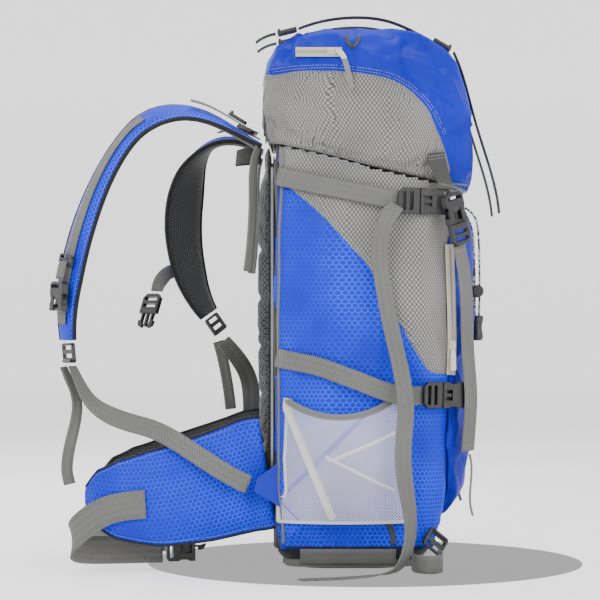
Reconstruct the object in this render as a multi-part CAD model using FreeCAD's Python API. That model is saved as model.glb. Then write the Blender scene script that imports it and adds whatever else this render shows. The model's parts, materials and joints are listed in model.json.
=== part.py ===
"""Trekking backpack of about 55 litres, as an assembly of its sewn, moulded and metal pieces.

Millimetres. +Z is up and +X points away from the wearer, so the harness is on the -X side and the
wearer's left is -Y. The origin is on the base panel's flat face, under the middle of the pack.
Soft pieces are plain closed solids of the stuffed size. Moulded buckles, adjusters and cord locks
have their real slots, bars, windows and arms.
"""
import FreeCAD, Part
import math
import os

V = FreeCAD.Vector
os.makedirs("parts", exist_ok=True)

# ---------------------------------------------------------------- driving dimensions
WALL = 3.0                 # stuffed fabric wall of the main bag
WEB = 25.0                 # compression, lid and shoulder webbing
WAIST_WEB = 38.0           # hip belt webbing
WEB_T = 1.6                # webbing thickness
GAP = 0.5                  # gap between pieces that only lie on each other
BAG_BACK = -124.0          # rear wall of the main bag
BAG_HALF = 150.0           # half width of the main bag at its widest
BASE_H = 30.0              # height of the bulged base panel
BUCKLE_W = 35.0            # width of the side release buckles
SOCKET_L = 40.0
PLUG_L = 30.0
BUCKLE_T = 10.0
PLUG_T = 7.0
LID_AXIS = V(-138, 0, 650)         # line the lid turns about, where its rear straps are sewn on
LID_SLOPE = 0.235                  # the lid's lower edge falls towards the front
LID_EDGE_BACK = 574.0              # height of that edge at the rear wall
LID_TOP = 722.0
SEAM_GAP = 4.0                     # slot between the bag's mouth and the lid's edge
PAD_T = 14.0                       # shoulder pad thickness
CORD_D = 3.0                       # elastic cord
STRAND = 3.3                       # half the distance between the two strands of a cord loop


# ---------------------------------------------------------------- shapes made from sections
def ring(z, x0, x1, half, r_back, r_front):
    """A rounded rectangle at height z, with its own radius at the rear and the front corners."""
    corners = [(x0, -half, r_back), (x1, -half, r_front), (x1, half, r_front), (x0, half, r_back)]
    edges = []
    for i, (x, y, r) in enumerate(corners):
        xp, yp, _ = corners[i - 1]
        xn, yn, rn = corners[(i + 1) % 4]
        back = V(xp - x, yp - y, 0).normalize()
        on = V(xn - x, yn - y, 0).normalize()
        c = V(x, y, z)
        start, end = c + back * r, c + on * r
        middle = c + (back + on) * (r * (1 - math.sqrt(0.5)))
        edges.append(Part.Arc(start, middle, end).toShape())
        edges.append(Part.LineSegment(end, V(xn, yn, z) - on * rn).toShape())
    return Part.Wire(edges)


def skin(rings):
    """Closed solid through a stack of rings."""
    return Part.makeLoft([ring(*r) for r in rings], True, True)


def inset(rings, t):
    """The same stack, smaller by a wall thickness all round."""
    return [(z, x0 + t, x1 - t, half - t, r_back - t, r_front - t) for z, x0, x1, half, r_back, r_front in rings]


def polygon(points):
    return Part.makePolygon([*points, points[0]])


def spread(values, share):
    """The value at share 0 to 1 along an evenly spaced list of numbers or vectors."""
    at = share * (len(values) - 1)
    i = min(int(at), len(values) - 2)
    return values[i] * (1 - (at - i)) + values[i + 1] * (at - i)


def stations(points, across, n):
    """n places along the smooth curve through points: (place, along, across, inwards).

    across lists the direction of the strap's width, spread evenly along the curve.
    """
    curve = Part.BSplineCurve()
    curve.interpolate([V(*p) for p in points])
    sides = [V(*a) for a in across]
    if len(sides) == 1:
        sides = sides * 2
    found = []
    for i in range(n):
        share = i / (n - 1)
        u = curve.parameterAtDistance(curve.length() * share, curve.FirstParameter)
        t = curve.tangent(u)[0].normalize()
        side = spread(sides, share)
        side = (side - t * side.dot(t)).normalize()
        found.append((curve.value(u), t, side, t.cross(side).normalize()))
    return found


def shifted(found, out):
    """Stations moved outwards, for webbing that lies on a pad."""
    return [(p - up * out, t, side, up) for p, t, side, up in found]


def flat_section(station, width, thick):
    p, _, side, up = station
    w, h = side * (width / 2), up * (thick / 2)
    return polygon([p - w - h, p + w - h, p + w + h, p - w + h])


def strip(found, width=WEB, thick=WEB_T):
    """Webbing through the given stations."""
    return Part.makeLoft([flat_section(s, width, thick) for s in found], True, True)


def ribbon(points, across, width=WEB, thick=WEB_T, n=None):
    """Webbing along a smooth path."""
    return strip(stations(points, across, n or 2 * len(points)), width, thick)


def pad(found, widths, thicks):
    """A foam pad with soft edges, whose width and thickness vary along its stations."""
    sections = []
    for i, (p, _, side, up) in enumerate(found):
        share = i / (len(found) - 1)
        w, h = spread(widths, share) / 2, spread(thicks, share) / 2
        e = h * 0.85
        outline = [(-w, -h + e), (-w + e, -h), (w - e, -h), (w, -h + e)]
        outline += [(-x, -z) for x, z in outline]
        sections.append(polygon([p + side * x + up * z for x, z in outline]))
    return Part.makeLoft(sections, True, True)


def cord(name, points, d=CORD_D):
    """A round cord: straight runs joined by tangent arcs, as large as the two runs allow."""
    pts = [V(*p) for p in points]
    edges, at, radii = [], pts[0], []
    for a, b, c in zip(pts, pts[1:], pts[2:]):
        back, on = a - b, c - b
        cut = 0.45 * min(back.Length, on.Length)
        back, on = back.normalize(), on.normalize()
        half_turn = (math.pi - back.getAngle(on)) / 2
        radius = cut / math.tan(half_turn)
        start, end = b + back * cut, b + on * cut
        middle = b + (back + on).normalize() * (radius / math.cos(half_turn) - radius)
        edges.append(Part.LineSegment(at, start).toShape())
        edges.append(Part.Arc(start, middle, end).toShape())
        radii.append(radius)
        at = end
    edges.append(Part.LineSegment(at, pts[-1]).toShape())
    path = Part.Wire(edges)
    tube = Part.BRepOffsetAPI.MakePipeShell(path)
    tube.setFrenetMode(False)
    tube.add(Part.Wire(Part.makeCircle(d / 2, pts[0], pts[1] - pts[0])), False, False)
    tube.build()
    tube.makeSolid()
    made = Part.Solid(tube.shape())
    share = made.Volume / (math.pi * d * d / 4 * path.Length)
    print(name, "length %.1f" % path.Length, "radii", [round(r, 1) for r in radii], "volume share %.3f" % share)
    return made


# ---------------------------------------------------------------- small helpers
def box(x0, x1, y0, y1, z0, z1):
    return Part.makeBox(x1 - x0, y1 - y0, z1 - z0, V(x0, y0, z0))


def slab(outline, t):
    """A plate cut to an outline in the XY plane, centred on Z = 0."""
    face = Part.Face(polygon([V(x, y, -t / 2) for x, y in outline]))
    return face.extrude(V(0, 0, t))


def place(shape, at, forward, outward):
    """Moves a piece made along +X, with +Z outwards, to a place on the pack."""
    x = V(*forward).normalize()
    z = V(*outward)
    z = (z - x * z.dot(x)).normalize()
    y = z.cross(x)
    m = FreeCAD.Matrix(x.x, y.x, z.x, at[0], x.y, y.y, z.y, at[1], x.z, y.z, z.z, at[2], 0, 0, 0, 1)
    return shape.transformed(m)


def seat(shape, station, out, on=0.0):
    """Puts a piece on a strap: out is its distance from the strap's middle, on its shift along it."""
    p, t, _, up = station
    return place(shape, p - up * out + t * on, t, -up)


def mirrored(shape):
    """The same piece for the wearer's right side."""
    return shape.mirror(V(0, 0, 0), V(0, 1, 0))


def both(*shapes):
    return [*shapes, *[mirrored(s) for s in shapes]]


def upright(edge):
    """True for a straight edge along Z."""
    low, high = edge.Vertexes[0].Point, edge.Vertexes[-1].Point
    return math.hypot(low.x - high.x, low.y - high.y) < 1e-6


def soften(shape, radius, pick):
    """Rounds the edges that pick(edge) names."""
    return shape.makeFillet(radius, [e for e in shape.Edges if pick(e)])


nodes = {}


def keep(name, *solids):
    """Notes a named node, as one solid or a group of separate solids."""
    nodes[name] = solids


def keep_pair(name, *solids):
    """The same node for the wearer's left and right side."""
    keep(name + "_left", *solids)
    keep(name + "_right", *[mirrored(s) for s in solids])


# ---------------------------------------------------------------- moulded hardware
def buckle_socket():
    """Female half of a side release buckle. Its mouth is at X = 0, its sewing bar at the far end."""
    w = BUCKLE_W / 2
    waist = w - 2
    edge = [(0, -w), (8, -w), (11, -waist), (20, -waist), (24, -w), (SOCKET_L - 4, -w), (SOCKET_L, -w + 5)]
    body = slab([*edge, *[(x, -y) for x, y in reversed(edge)]], BUCKLE_T)
    body = soften(body, 1.4, lambda e: not upright(e) and e.Length > 6)
    cavity = box(-1, 25, -13.4, 13.4, -3.2, 3.2)
    windows = box(9, 22, -w - 1, w + 1, -3.2, 3.2)
    sewing_slot = box(SOCKET_L - 9, SOCKET_L - 4.5, -13, 13, -BUCKLE_T, BUCKLE_T)
    thumb_dish = Part.makeCylinder(26, 14, V(10, -7, 28.6), V(0, 1, 0))
    return body.cut([cavity, windows, sewing_slot, thumb_dish])


def plug_arm(reach):
    """One spring arm of the plug. reach is how far its catch stands out from the middle."""
    return slab([(-2, 8), (4, 8.6), (12, 8.6), (20.5, 5.5), (21, 7.5), (17.5, reach - 1), (13, reach),
                 (10.2, reach), (9.6, 11.4), (3, 11.8), (-2, 12.5)], 4.6)


def buckle_plug(reach=12.9):
    """Male half with two spring arms, a guide rail and a ladder of two slots for the webbing."""
    w = BUCKLE_W / 2
    edge = [(-PLUG_L, -w + 7), (-PLUG_L + 6, -w), (-GAP, -w)]
    body = slab([*edge, *[(x, -y) for x, y in reversed(edge)]], PLUG_T)
    body = soften(body, 1.2, lambda e: not upright(e) and e.Length > 6)
    slots = [box(x, x + 5, -12.8, 12.8, -PLUG_T, PLUG_T) for x in (-24.5, -14.5)]
    arm = plug_arm(reach)
    rail = box(-2, 19, -2.2, 2.2, -1.8, 1.8)
    return body.cut(slots).fuse([arm, arm.mirror(V(0, 0, 0), V(0, 1, 0)), rail]).removeSplitter()


def ladder_lock():
    """Tension adjuster: a frame with three bars and a raised lip that is lifted to slacken it."""
    edge = [(-13, -14), (-9, -17), (10, -17), (14, -14)]
    frame = slab([*edge, *[(x, -y) for x, y in reversed(edge)]], 5)
    frame = soften(frame, 1.2, lambda e: not upright(e) and e.Length > 6)
    slots = [box(x, x + 5.5, -13.2, 13.2, -6, 6) for x in (-9.5, 1.5)]
    lip = soften(box(9, 13, -12, 12, 2, 5.5), 1.2, lambda e: e.Length > 20)
    return frame.cut(slots).fuse(lip).removeSplitter()


def strap_slider():
    """Two slot slider that clamps the chest strap on the shoulder pad."""
    edge = [(-7, -14), (-5, -17), (5, -17), (7, -14)]
    plate = slab([*edge, *[(x, -y) for x, y in reversed(edge)]], 4)
    slots = [box(x, x + 4, -13, 13, -3, 3) for x in (-5.2, 1.2)]
    return soften(plate.cut(slots), 0.8, upright)


def cord_lock_body():
    """Barrel with a cross hole for two strands. The button's stem enters from +Z."""
    barrel = Part.makeCylinder(8.5, 18, V(0, 0, -11))
    barrel = soften(barrel, 1.8, lambda e: abs(e.BoundBox.ZMin + 11) < 1e-6 and e.BoundBox.ZLength < 1e-6)
    bore = Part.makeCylinder(6.2, 16, V(0, 0, -8))
    eye = box(-9, 9, -STRAND - 2, STRAND + 2, -2.4, 2.4)
    return barrel.cut([bore, eye])


def cord_lock_button():
    """Push button with its stem. The stem's slot is longer, so the strands pass at every travel."""
    head = Part.makeCylinder(7.4, 5.5, V(0, 0, 12.5))
    head = soften(head, 1.8, lambda e: abs(e.BoundBox.ZMax - 18) < 1e-6 and e.BoundBox.ZLength < 1e-6)
    stem = Part.makeCylinder(5.8, 15.2, V(0, 0, -2.4))
    slot = box(-9, 9, -STRAND - 2, STRAND + 2, -3, 7.4)
    return head.fuse(stem).cut(slot).removeSplitter()


def cord_end():
    """Moulded grip that hides the end of a cord loop. Its mouth is at Z = 0 and it hangs below."""
    grip = Part.makeLoft([Part.Wire(Part.makeCircle(r, V(0, 0, z))) for z, r in
                          ((0, 7.2), (-6, 8.4), (-14, 6.8), (-24, 7.6), (-34, 6.2))], True, False)
    return grip.cut(box(-STRAND - 2.2, STRAND + 2.2, -2.2, 2.2, -12, 1))


def zip_slider():
    """Slider body with the bridge that holds its pull. It runs along X."""
    edge = [(-6, -3.2), (-2, -4.6), (4, -4.6), (6, -2)]
    body = slab([*edge, *[(x, -y) for x, y in reversed(edge)]], 2.4)
    bridge = box(-4, 4, -1.1, 1.1, 1.2, 4.4).cut(box(-2.5, 2.5, -2, 2, 1.2, 3.1))
    return body.fuse(bridge).removeSplitter()


def pull_link():
    """Metal link of a zip pull. Its end bar lies at the origin, inside the slider's bridge."""
    return box(-0.6, 8.6, -2.7, 2.7, -0.6, 0.6).cut(box(0.6, 5.6, -1.5, 1.5, -1, 1))


def zip_pull(length):
    """Link with a straight moulded grip that has cross ribs."""
    grip = slab([(7.6, -2.4), (14, -3.4), (length - 2, -4), (length, -2.5), (length, 2.5), (length - 2, 4),
                 (14, 3.4), (7.6, 2.4)], 3)
    ribs = [box(x, x + 1.6, -3.2, 3.2, 1.4, 2.0) for x in range(16, int(length) - 5, 4)]
    return pull_link().fuse([grip, *ribs]).removeSplitter()


# ---------------------------------------------------------------- main bag, base and collar
BAG = [
    (BASE_H, BAG_BACK, 88, 132, 20, 36),
    (110, BAG_BACK, 106, 146, 22, 40),
    (300, BAG_BACK, 112, BAG_HALF, 24, 42),
    (460, BAG_BACK, 112, 146, 24, 42),
    (580, BAG_BACK + 2, 102, 136, 24, 40),
]
BASE = [(0, -92, 52, 98, 40, 45), (12, -112, 72, 120, 30, 42), BAG[0]]
COLLAR = [
    (490, -120, 105, 139, 22, 38),
    (516, -116, 100, 124, 24, 38),
    (545, -104, 74, 106, 30, 40),
    (568, -84, 44, 78, 30, 35),
]


def above_edge(drop):
    """Everything above the sloping line of the lid's lower edge, lowered by drop."""
    ends = [(x, LID_EDGE_BACK - drop - (x - BAG_BACK) * LID_SLOPE) for x in (-200, 200)]
    face = Part.Face(polygon([V(x, -250, z) for x, z in (*ends, (200, 900), (-200, 900))]))
    return face.extrude(V(0, 500, 0))


bag_outside = skin(BAG)
bag_inside = skin([(BASE_H + WALL, *inset(BAG, WALL)[0][1:]), *inset(BAG, WALL)[1:]])
keep("main_bag", bag_outside.cut([bag_inside, above_edge(SEAM_GAP)]))
keep("base_panel", skin(BASE))

hem = inset(COLLAR, 2)
hem = [(COLLAR[0][0] - 1, *hem[0][1:]), *hem[1:-1], (COLLAR[-1][0] + 1, *hem[-1][1:])]
eyelets = [Part.makeCylinder(3, 60, V(20, y, 559), V(1, 0, 0)) for y in (-12, 12)]
keep("extension_collar", skin(COLLAR).cut([skin(hem), *eyelets]))

# ---------------------------------------------------------------- front pocket and its side zip
POCKET = [
    (44, 40, 76, 60, 8, 22),
    (62, 40, 98, 100, 12, 40),
    (110, 40, 127, 124, 12, 46),
    (190, 40, 139, 131, 12, 46),
    (330, 40, 142, 132, 12, 46),
    (440, 40, 139, 130, 12, 46),
    (484, 40, 131, 122, 12, 44),
    (500, 40, 117, 110, 12, 36),
]
keep("front_pocket", skin(POCKET).cut(bag_outside))

FRONT_ZIP_OUT = V(0.35, -0.94, 0).normalize()


def pocket_corner(z, out):
    """The point at height z on the pocket's left front corner, that far off it, where the zip runs."""
    low, high = next((a, b) for a, b in zip(POCKET, POCKET[1:]) if a[0] <= z <= b[0])
    share = (z - low[0]) / (high[0] - low[0])
    x1, half, radius = (a + (b - a) * share for a, b in ((low[i], high[i]) for i in (2, 3, 5)))
    return V(x1 - radius, radius - half, z) + FRONT_ZIP_OUT * (radius + out)


zip_line = [tuple(pocket_corner(z, 1.3)) for z in (436, 384, 330, 262)]
keep("front_zip_tape", ribbon(zip_line, [(0.94, 0.35, 0)], 13, 1.4, 7))
front_slider_at = pocket_corner(302, 4.2)
keep("front_zip_slider", place(zip_slider(), front_slider_at, (0, 0, -1), FRONT_ZIP_OUT))
FRONT_PULL_AT = front_slider_at + FRONT_ZIP_OUT * 2.15
keep("front_zip_pull", place(zip_pull(34), FRONT_PULL_AT, (0, 0, -1), FRONT_ZIP_OUT))

# ---------------------------------------------------------------- net side pockets
NET_X = (-121.0, 62.0)
NET_BOW = [(66, 8), (90, 20), (150, 27), (262, 25)]
NET_T = 1.8


def bowed(z, bow, shrink=0.0):
    """Section of a side pocket: an arc over the side of the bag, closed inside the bag."""
    x0, x1 = NET_X[0] + shrink, NET_X[1] - shrink
    y = -BAG_HALF + 16
    arc = Part.Arc(V(x0, y, z), V((x0 + x1) / 2, -BAG_HALF - bow + shrink, z), V(x1, y, z))
    inner = [V(x1, y, z), V(x1, y + 12, z), V(x0, y + 12, z), V(x0, y, z)]
    return Part.Wire([arc.toShape(), *[Part.LineSegment(a, b).toShape() for a, b in zip(inner, inner[1:])]])


net_outside = Part.makeLoft([bowed(z, bow) for z, bow in NET_BOW], True, True)
net_levels = [(NET_BOW[0][0] + NET_T, NET_BOW[0][1]), *NET_BOW[1:-1], (NET_BOW[-1][0] + 1, NET_BOW[-1][1])]
net_inside = Part.makeLoft([bowed(z, bow, NET_T) for z, bow in net_levels], True, True)
dipped_mouth = Part.makeCylinder(122, 120, V(-38, -240, 334), V(0, 1, 0))
above_mouth = box(-200, 200, -260, 0, 256, 400)
net = net_outside.cut([net_inside, dipped_mouth, above_mouth, bag_outside])
keep("mesh_pockets", *both(max(net.Solids, key=lambda s: s.Volume)))

# ---------------------------------------------------------------- frame and back panel
sheet_x = BAG_BACK - GAP
sheet_outline = [(60, -112), (540, -112), (556, -96), (556, 96), (540, 112), (60, 112)]
keep("frame_sheet", Part.Face(polygon([V(sheet_x, y, z) for z, y in sheet_outline])).extrude(V(-1.6, 0, 0)))
stay_x = sheet_x - 1.6 - GAP
stay = box(stay_x - 3, stay_x, -72, -52, 66, 548)
keep("frame_stays", *both(soften(stay, 8, lambda e: e.BoundBox.XLength > 2.9 and e.Length < 3.1)))

panel_x = stay_x - 3 - GAP


def padded(levels, y0, y1):
    """A back panel pad with bevelled edges. levels are (height, depth)."""
    sections = []
    for z, depth in levels:
        outline = [(0, y0), (0, y1), (-depth * 0.6, y1 - 1), (-depth, y1 - 10), (-depth, y0 + 10),
                   (-depth * 0.6, y0 + 1)]
        sections.append(polygon([V(panel_x + x, y, z) for x, y in outline]))
    return Part.makeLoft(sections, True, True)


column = padded([(172, 6), (190, 13), (330, 16), (480, 14), (518, 12), (532, 6)], -106, -20)
lumbar = padded([(56, 6), (70, 15), (110, 20), (150, 17), (166, 8)], -106, 106)
yoke = padded([(537, 4), (544, 8), (562, 8), (569, 4)], -104, 104)
keep("back_pads", *both(column), lumbar, yoke)

# ---------------------------------------------------------------- lid
LID = [
    (500, -133, 140, 130, 34, 70),
    (560, -134, 141, 139, 36, 74),
    (620, -134, 137, 142, 38, 76),
    (670, -132, 127, 138, 42, 74),
    (700, -126, 108, 127, 46, 68),
    (716, -108, 82, 108, 46, 58),
    (LID_TOP, -92, 56, 92, 42, 50),
]
RECESS = [(495, -119, 108, 126, 24, 60), (600, -117, 104, 122, 24, 60), (616, -108, 90, 112, 24, 60)]
keep("lid_shell", skin(LID).common(above_edge(0)).cut(skin(RECESS)))

LID_STRAP_Y = -62.0
top_line = [(-92, 731), (-60, 741), (-20, 746), (30, 741), (66, 726), (86, 715)]
tail_line = [(119, 699), (132.5, 664), (143, 625), (156, 580), (170, 535), (181, 480)]
top_strap = ribbon([(x, LID_STRAP_Y, z) for x, z in top_line], [(0, 1, 0)])
flat_strap = ribbon([(x, LID_STRAP_Y, LID_TOP + GAP + WEB_T / 2) for x in (-82, -36, 10, 50)], [(0, 1, 0)])
rear_tail = ribbon([(x, LID_STRAP_Y, z) for x, z in ((-123, 724), (-137, 720), (-150, 712))], [(0, 1, 0)], n=6)
strap_tail = ribbon([(x, LID_STRAP_Y, z) for x, z in tail_line], [(0, 1, 0)])
rear_lock = place(ladder_lock(), (-107, LID_STRAP_Y, 727), (-1, 0, -0.25), (-0.25, 0, 1))
front_lock = place(ladder_lock(), (102.5, LID_STRAP_Y, 709), (0.86, 0, -0.5), (0.5, 0, 0.86))
keep("lid_ladder_locks", *both(rear_lock, front_lock))

# zip of the lid pocket, high on the left side
LID_ZIP_OUT = V(0, -30, 11).normalize()
lid_zip_up = V(0, 11, 30).normalize()
lid_zip_at = V(0, -129.9, 692) + LID_ZIP_OUT * 1.4
zip_line = [(x, lid_zip_at.y, lid_zip_at.z) for x in (-96, -72, -34)]
keep("lid_zip_tape", ribbon(zip_line, [tuple(lid_zip_up)], 14, 1.4, 3))
lid_slider_at = V(-48, 0, 0) + lid_zip_at + LID_ZIP_OUT * 2.6
keep("lid_zip_slider", place(zip_slider(), lid_slider_at, (1, 0, 0), LID_ZIP_OUT))
LID_PULL_AT = lid_slider_at + LID_ZIP_OUT * 2.15
link_end = LID_PULL_AT + V(7.4, 0, 0)
grip_line = [tuple(link_end + V(x, 0, 0) + LID_ZIP_OUT * out + lid_zip_up * -down)
             for x, out, down in ((0, 0, 0), (5, 1, 4), (10, 2, 15), (14, 2, 30), (19, 1, 56))]
grip = ribbon(grip_line, [tuple(lid_zip_up), (0.6, 0, 0.8), (1, 0, 0.3), (1, 0, 0.3)], 7, 2.6, 12)
keep("lid_zip_pull", place(pull_link(), LID_PULL_AT, (1, 0, 0), LID_ZIP_OUT).fuse(grip).removeSplitter())

# ---------------------------------------------------------------- the two buckles that close the lid
LID_DOWN = V(0.22, 0.12, -0.97).normalize()
LID_FACE = (0.7, -0.7, 0)
LID_MOUTH = V(117.8, -156.2, 464.2)
keep("lid_sockets", *both(place(buckle_socket(), LID_MOUTH, LID_DOWN * -1, LID_FACE)))
keep_pair("lid_plug", place(buckle_plug(), LID_MOUTH, LID_DOWN * -1, LID_FACE))
hanger = ribbon([(91, -137.6, 558), (95, -139.4, 538), (101, -147, 520), (106.4, -158.6, 509.5)],
                [(0.95, 0.32, 0), (0.9, 0.4, 0), (0.7, 0.7, 0)])
keep("lid_straps", *both(top_strap, flat_strap, rear_tail, strap_tail, hanger))

# the bag's own webbing that holds the lid: down the front corners, and up the rear wall
front_line = [(120.6, -148.4, 436), (126.6, -145.1, 406), (131.5, -137, 362), (132.8, -129.8, 318),
              (135, -131.5, 275), (137.6, -132, 236), (136.5, -128.5, 200), (134, -121, 160)]
front_strap = ribbon(front_line, [(0.7, 0.7, 0)], n=18)
rear_line = [(-138.4, -80, 584), (-138.6, -80, 612), (-138.6, -80, 644)]
rear_strap = ribbon(rear_line, [(0, 1, 0)], n=3)
keep("lid_anchor_straps", *both(front_strap, rear_strap))

# ---------------------------------------------------------------- side compression straps
UPPER_MOUTH, UPPER_WAY = (69, -152.5, 493), (0.99, 0.14, -0.03)
LOWER_MOUTH, LOWER_WAY = (98, -149, 236), (0.848, 0.53, -0.02)
upper_line = [(-121, -142, 527), (-100, -146.4, 522), (-60, -148.5, 514), (-20, -150, 506), (14, -154.6, 499),
              (40, -151.6, 494), (58, -148.6, 493)]
lower_line = [(-122, -147, 286), (-100, -153, 281), (-70, -157, 275), (-40, -162, 265), (0, -169, 250),
              (28, -172, 240), (50, -170, 236), (75, -156.8, 236), (91, -147, 236)]
compression = [ribbon(upper_line, [(0, 0, 1)], n=16), ribbon(lower_line, [(0, 0, 1)], n=20)]
keep("compression_webbing", *both(*compression))
sockets = [place(buckle_socket(), mouth, way, (0, -1, 0))
           for mouth, way in ((UPPER_MOUTH, UPPER_WAY), (LOWER_MOUTH, LOWER_WAY))]
keep("compression_sockets", *both(*sockets))
keep_pair("upper_plug", place(buckle_plug(), UPPER_MOUTH, UPPER_WAY, (0, -1, 0)))
keep_pair("lower_plug", place(buckle_plug(), LOWER_MOUTH, LOWER_WAY, (0, -1, 0)))

# free ends: the left upper strap's long end hangs over the net pocket and trails on the ground
long_line = [(38, -168, 487), (24, -172, 468), (15, -169, 430), (20, -166, 380), (30, -170, 326), (44, -188, 260),
             (48, -192, 224), (45, -186, 156), (52, -182, 96), (55, -183, 60), (50, -190, 34), (38, -202, 15),
             (16, -217, 7), (-16, -233, 4.4), (-52, -245, 3.6), (-90, -256, 3.4)]
long_across = [(1, 0, 0.3), (1, 0, 0), (1, 0.1, 0), (1, 0.2, 0), (1, 0, 0), (1, 0, 0.2), (0.7, 0.5, 0),
               (0.5, 0.85, 0), (0.3, 0.95, 0), (0.3, 0.95, 0)]
long_end = ribbon(long_line, long_across, 22, n=40)
short_end = ribbon([(38, 167, 487), (24, 171, 468), (17, 168, 430), (22, 165, 370), (27, 166, 318)],
                   [(1, 0, 0)], 22, n=12)
lifter_end = ribbon([(-146, -123, 566), (-152, -125, 542), (-153, -125, 500), (-155, -123, 450), (-160, -122, 400)],
                    [(0.5, 1, 0.4), (0.6, 1, 0), (0.6, 1, 0), (0.7, 1, 0)], 20)
front_end = ribbon([(136.5, -121.5, 156), (139, -121, 128), (137, -122, 100), (141, -121, 74)], [(0.2, 1, 0)], 12)
keep("webbing_ends", long_end, short_end, *both(lifter_end, front_end))

# ---------------------------------------------------------------- tool keepers on the front pocket
KEEPER_Y = 62.0
KEEPER_X = 151.0
KEEPER_LOCK = V(KEEPER_X, -KEEPER_Y, 374)


def keeper_route(y):
    """One elastic loop, sewn in at the pocket's top. Its strands meet inside the cord end."""
    near, far = KEEPER_X - STRAND, KEEPER_X + STRAND
    return [(130, y, 484), (140.5, y, 474), (near, y, 440), (near, y, 330.6), (far, y, 330.6), (far, y, 446),
            (148, y, 484), (125, y, 491)]


for side, name in ((-1, "left"), (1, "right")):
    keep("keeper_cord_" + name, cord("keeper cord " + name, keeper_route(side * KEEPER_Y)))
keep("keeper_ends", *both(place(cord_end(), (KEEPER_X, -KEEPER_Y, 341), (1, 0, 0), (0, 0, 1))))
keep_pair("keeper_lock", place(cord_lock_body(), KEEPER_LOCK, (0, 0, 1), (0, -1, 0)))
keep_pair("keeper_button", place(cord_lock_button(), KEEPER_LOCK, (0, 0, 1), (0, -1, 0)))

# ---------------------------------------------------------------- shoulder straps
PAD_WIDTHS = [58.0, 66.0, 68.0, 66.0, 60.0, 44.0]
PAD_DEPTHS = [12.0, PAD_T, PAD_T, PAD_T, PAD_T, 12.0]
RAIL_OUT = PAD_T / 2 + GAP + WEB_T / 2

left_line = [(-145, -62, 570), (-190, -68, 597), (-228, -74, 613), (-264, -82, 615), (-302, -92, 599),
             (-334, -99, 563), (-361, -102, 513), (-381, -102, 460), (-395, -98, 408), (-403, -94, 356),
             (-403, -92, 308)]
left_turn = [(0, 1, 0), (0, 0.96, 0.25), (-0.1, 0.88, 0.42), (-0.3, 0.85, 0.3), (-0.5, 0.82, 0.1),
             (-0.58, 0.8, 0), (-0.5, 0.85, 0)]
right_line = [(-145, 62, 570), (-180, 66, 586), (-212, 72, 583), (-236, 80, 560), (-250, 86, 521),
              (-256, 91, 472), (-252, 94, 424), (-240, 96, 380), (-220, 98, 342)]
right_turn = [(0, 1, 0), (0.1, 1, 0.1), (0.5, 0.8, 0.3), (0.72, 0.68, 0), (0.75, 0.66, 0), (0.72, 0.68, 0),
              (0.6, 0.75, 0)]
lifter_lines = {
    "left": ([(-147, -62, 589), (-170, -66, 601), (-205, -71, 621), (-238, -76, 632.5)], [(0, 1, 0), (0, 0.96, 0.2)]),
    "right": ([(-147, 62, 589), (-164, 64, 597), (-184, 67, 602), (-206, 71, 598.5)], [(0, 1, 0)]),
}
free_end_lines = {
    "left": ([(-409, -92, 272), (-400, -95, 252), (-392, -97, 234), (-394, -98, 190), (-400, -97, 114)],
             [(0.5, 0.85, 0), (0.8, 0.5, 0), (0.9, 0.2, 0), (0.9, 0.2, 0)]),
    "right": ([(-207, 106, 303), (-202, 109, 284), (-195, 109, 250), (-189, 107, 206)], [(0.9, 0.2, 0)]),
}
chest_heights = {"left": 404, "right": 407}
chest_stations = {}
for name, line, turn in (("left", left_line, left_turn), ("right", right_line, right_turn)):
    found = stations(line, turn, 24)
    keep("shoulder_pad_" + name, pad(found, PAD_WIDTHS, PAD_DEPTHS))
    rail = strip(shifted(found[8:23], RAIL_OUT), 22)
    lifter_line, lifter_turn = lifter_lines[name]
    lifter = stations(lifter_line, lifter_turn, 10)
    free_end = ribbon(*free_end_lines[name], 16)
    keep("shoulder_webbing_" + name, rail, strip(lifter, 20), free_end)
    keep("shoulder_locks_" + name, seat(ladder_lock(), found[-1], 0, 17), seat(ladder_lock(), lifter[3], 4.2))
    chest_stations[name] = min(found, key=lambda s: abs(s[0].z - chest_heights[name]) + (s[0].z > 560) * 999)

# lower webbing from each adjuster to a tab at the bottom corner of the bag
keep("lower_webbing_left", ribbon(
    [(-397, -91, 273), (-385, -98, 248), (-370, -110, 226), (-345, -124, 209), (-316, -138, 199), (-280, -155, 189),
     (-244, -165, 170), (-204, -167, 144), (-158, -156, 118)],
    [(0.3, 0.9, 0), (0.4, 0.7, 0.3), (0.4, 0.2, 0.8), (0.2, 0.1, 1), (0.1, 0.2, 1), (0.3, 0.1, 1), (0.4, 0.1, 1)],
    n=22))
keep("lower_webbing_right", ribbon(
    [(-199, 97, 304), (-180, 103, 280), (-165, 122, 252), (-160, 142, 212), (-160, 152, 170), (-156, 155, 126)],
    [(0.7, 0.6, 0.3), (0.7, 0.3, 0.5), (0.9, -0.1, 0.2), (0.9, 0.1, 0.1), (0.9, 0.2, 0)], n=16))
tab = place(slab([(6, -30), (6, 32), (-28, 9), (-32, -7)], 2.4), (-121, -139, 116), (0.95, 0.35, 0), (-0.35, -0.95, 0))
keep("anchor_tabs", *both(tab.cut([bag_outside, net])))

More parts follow.
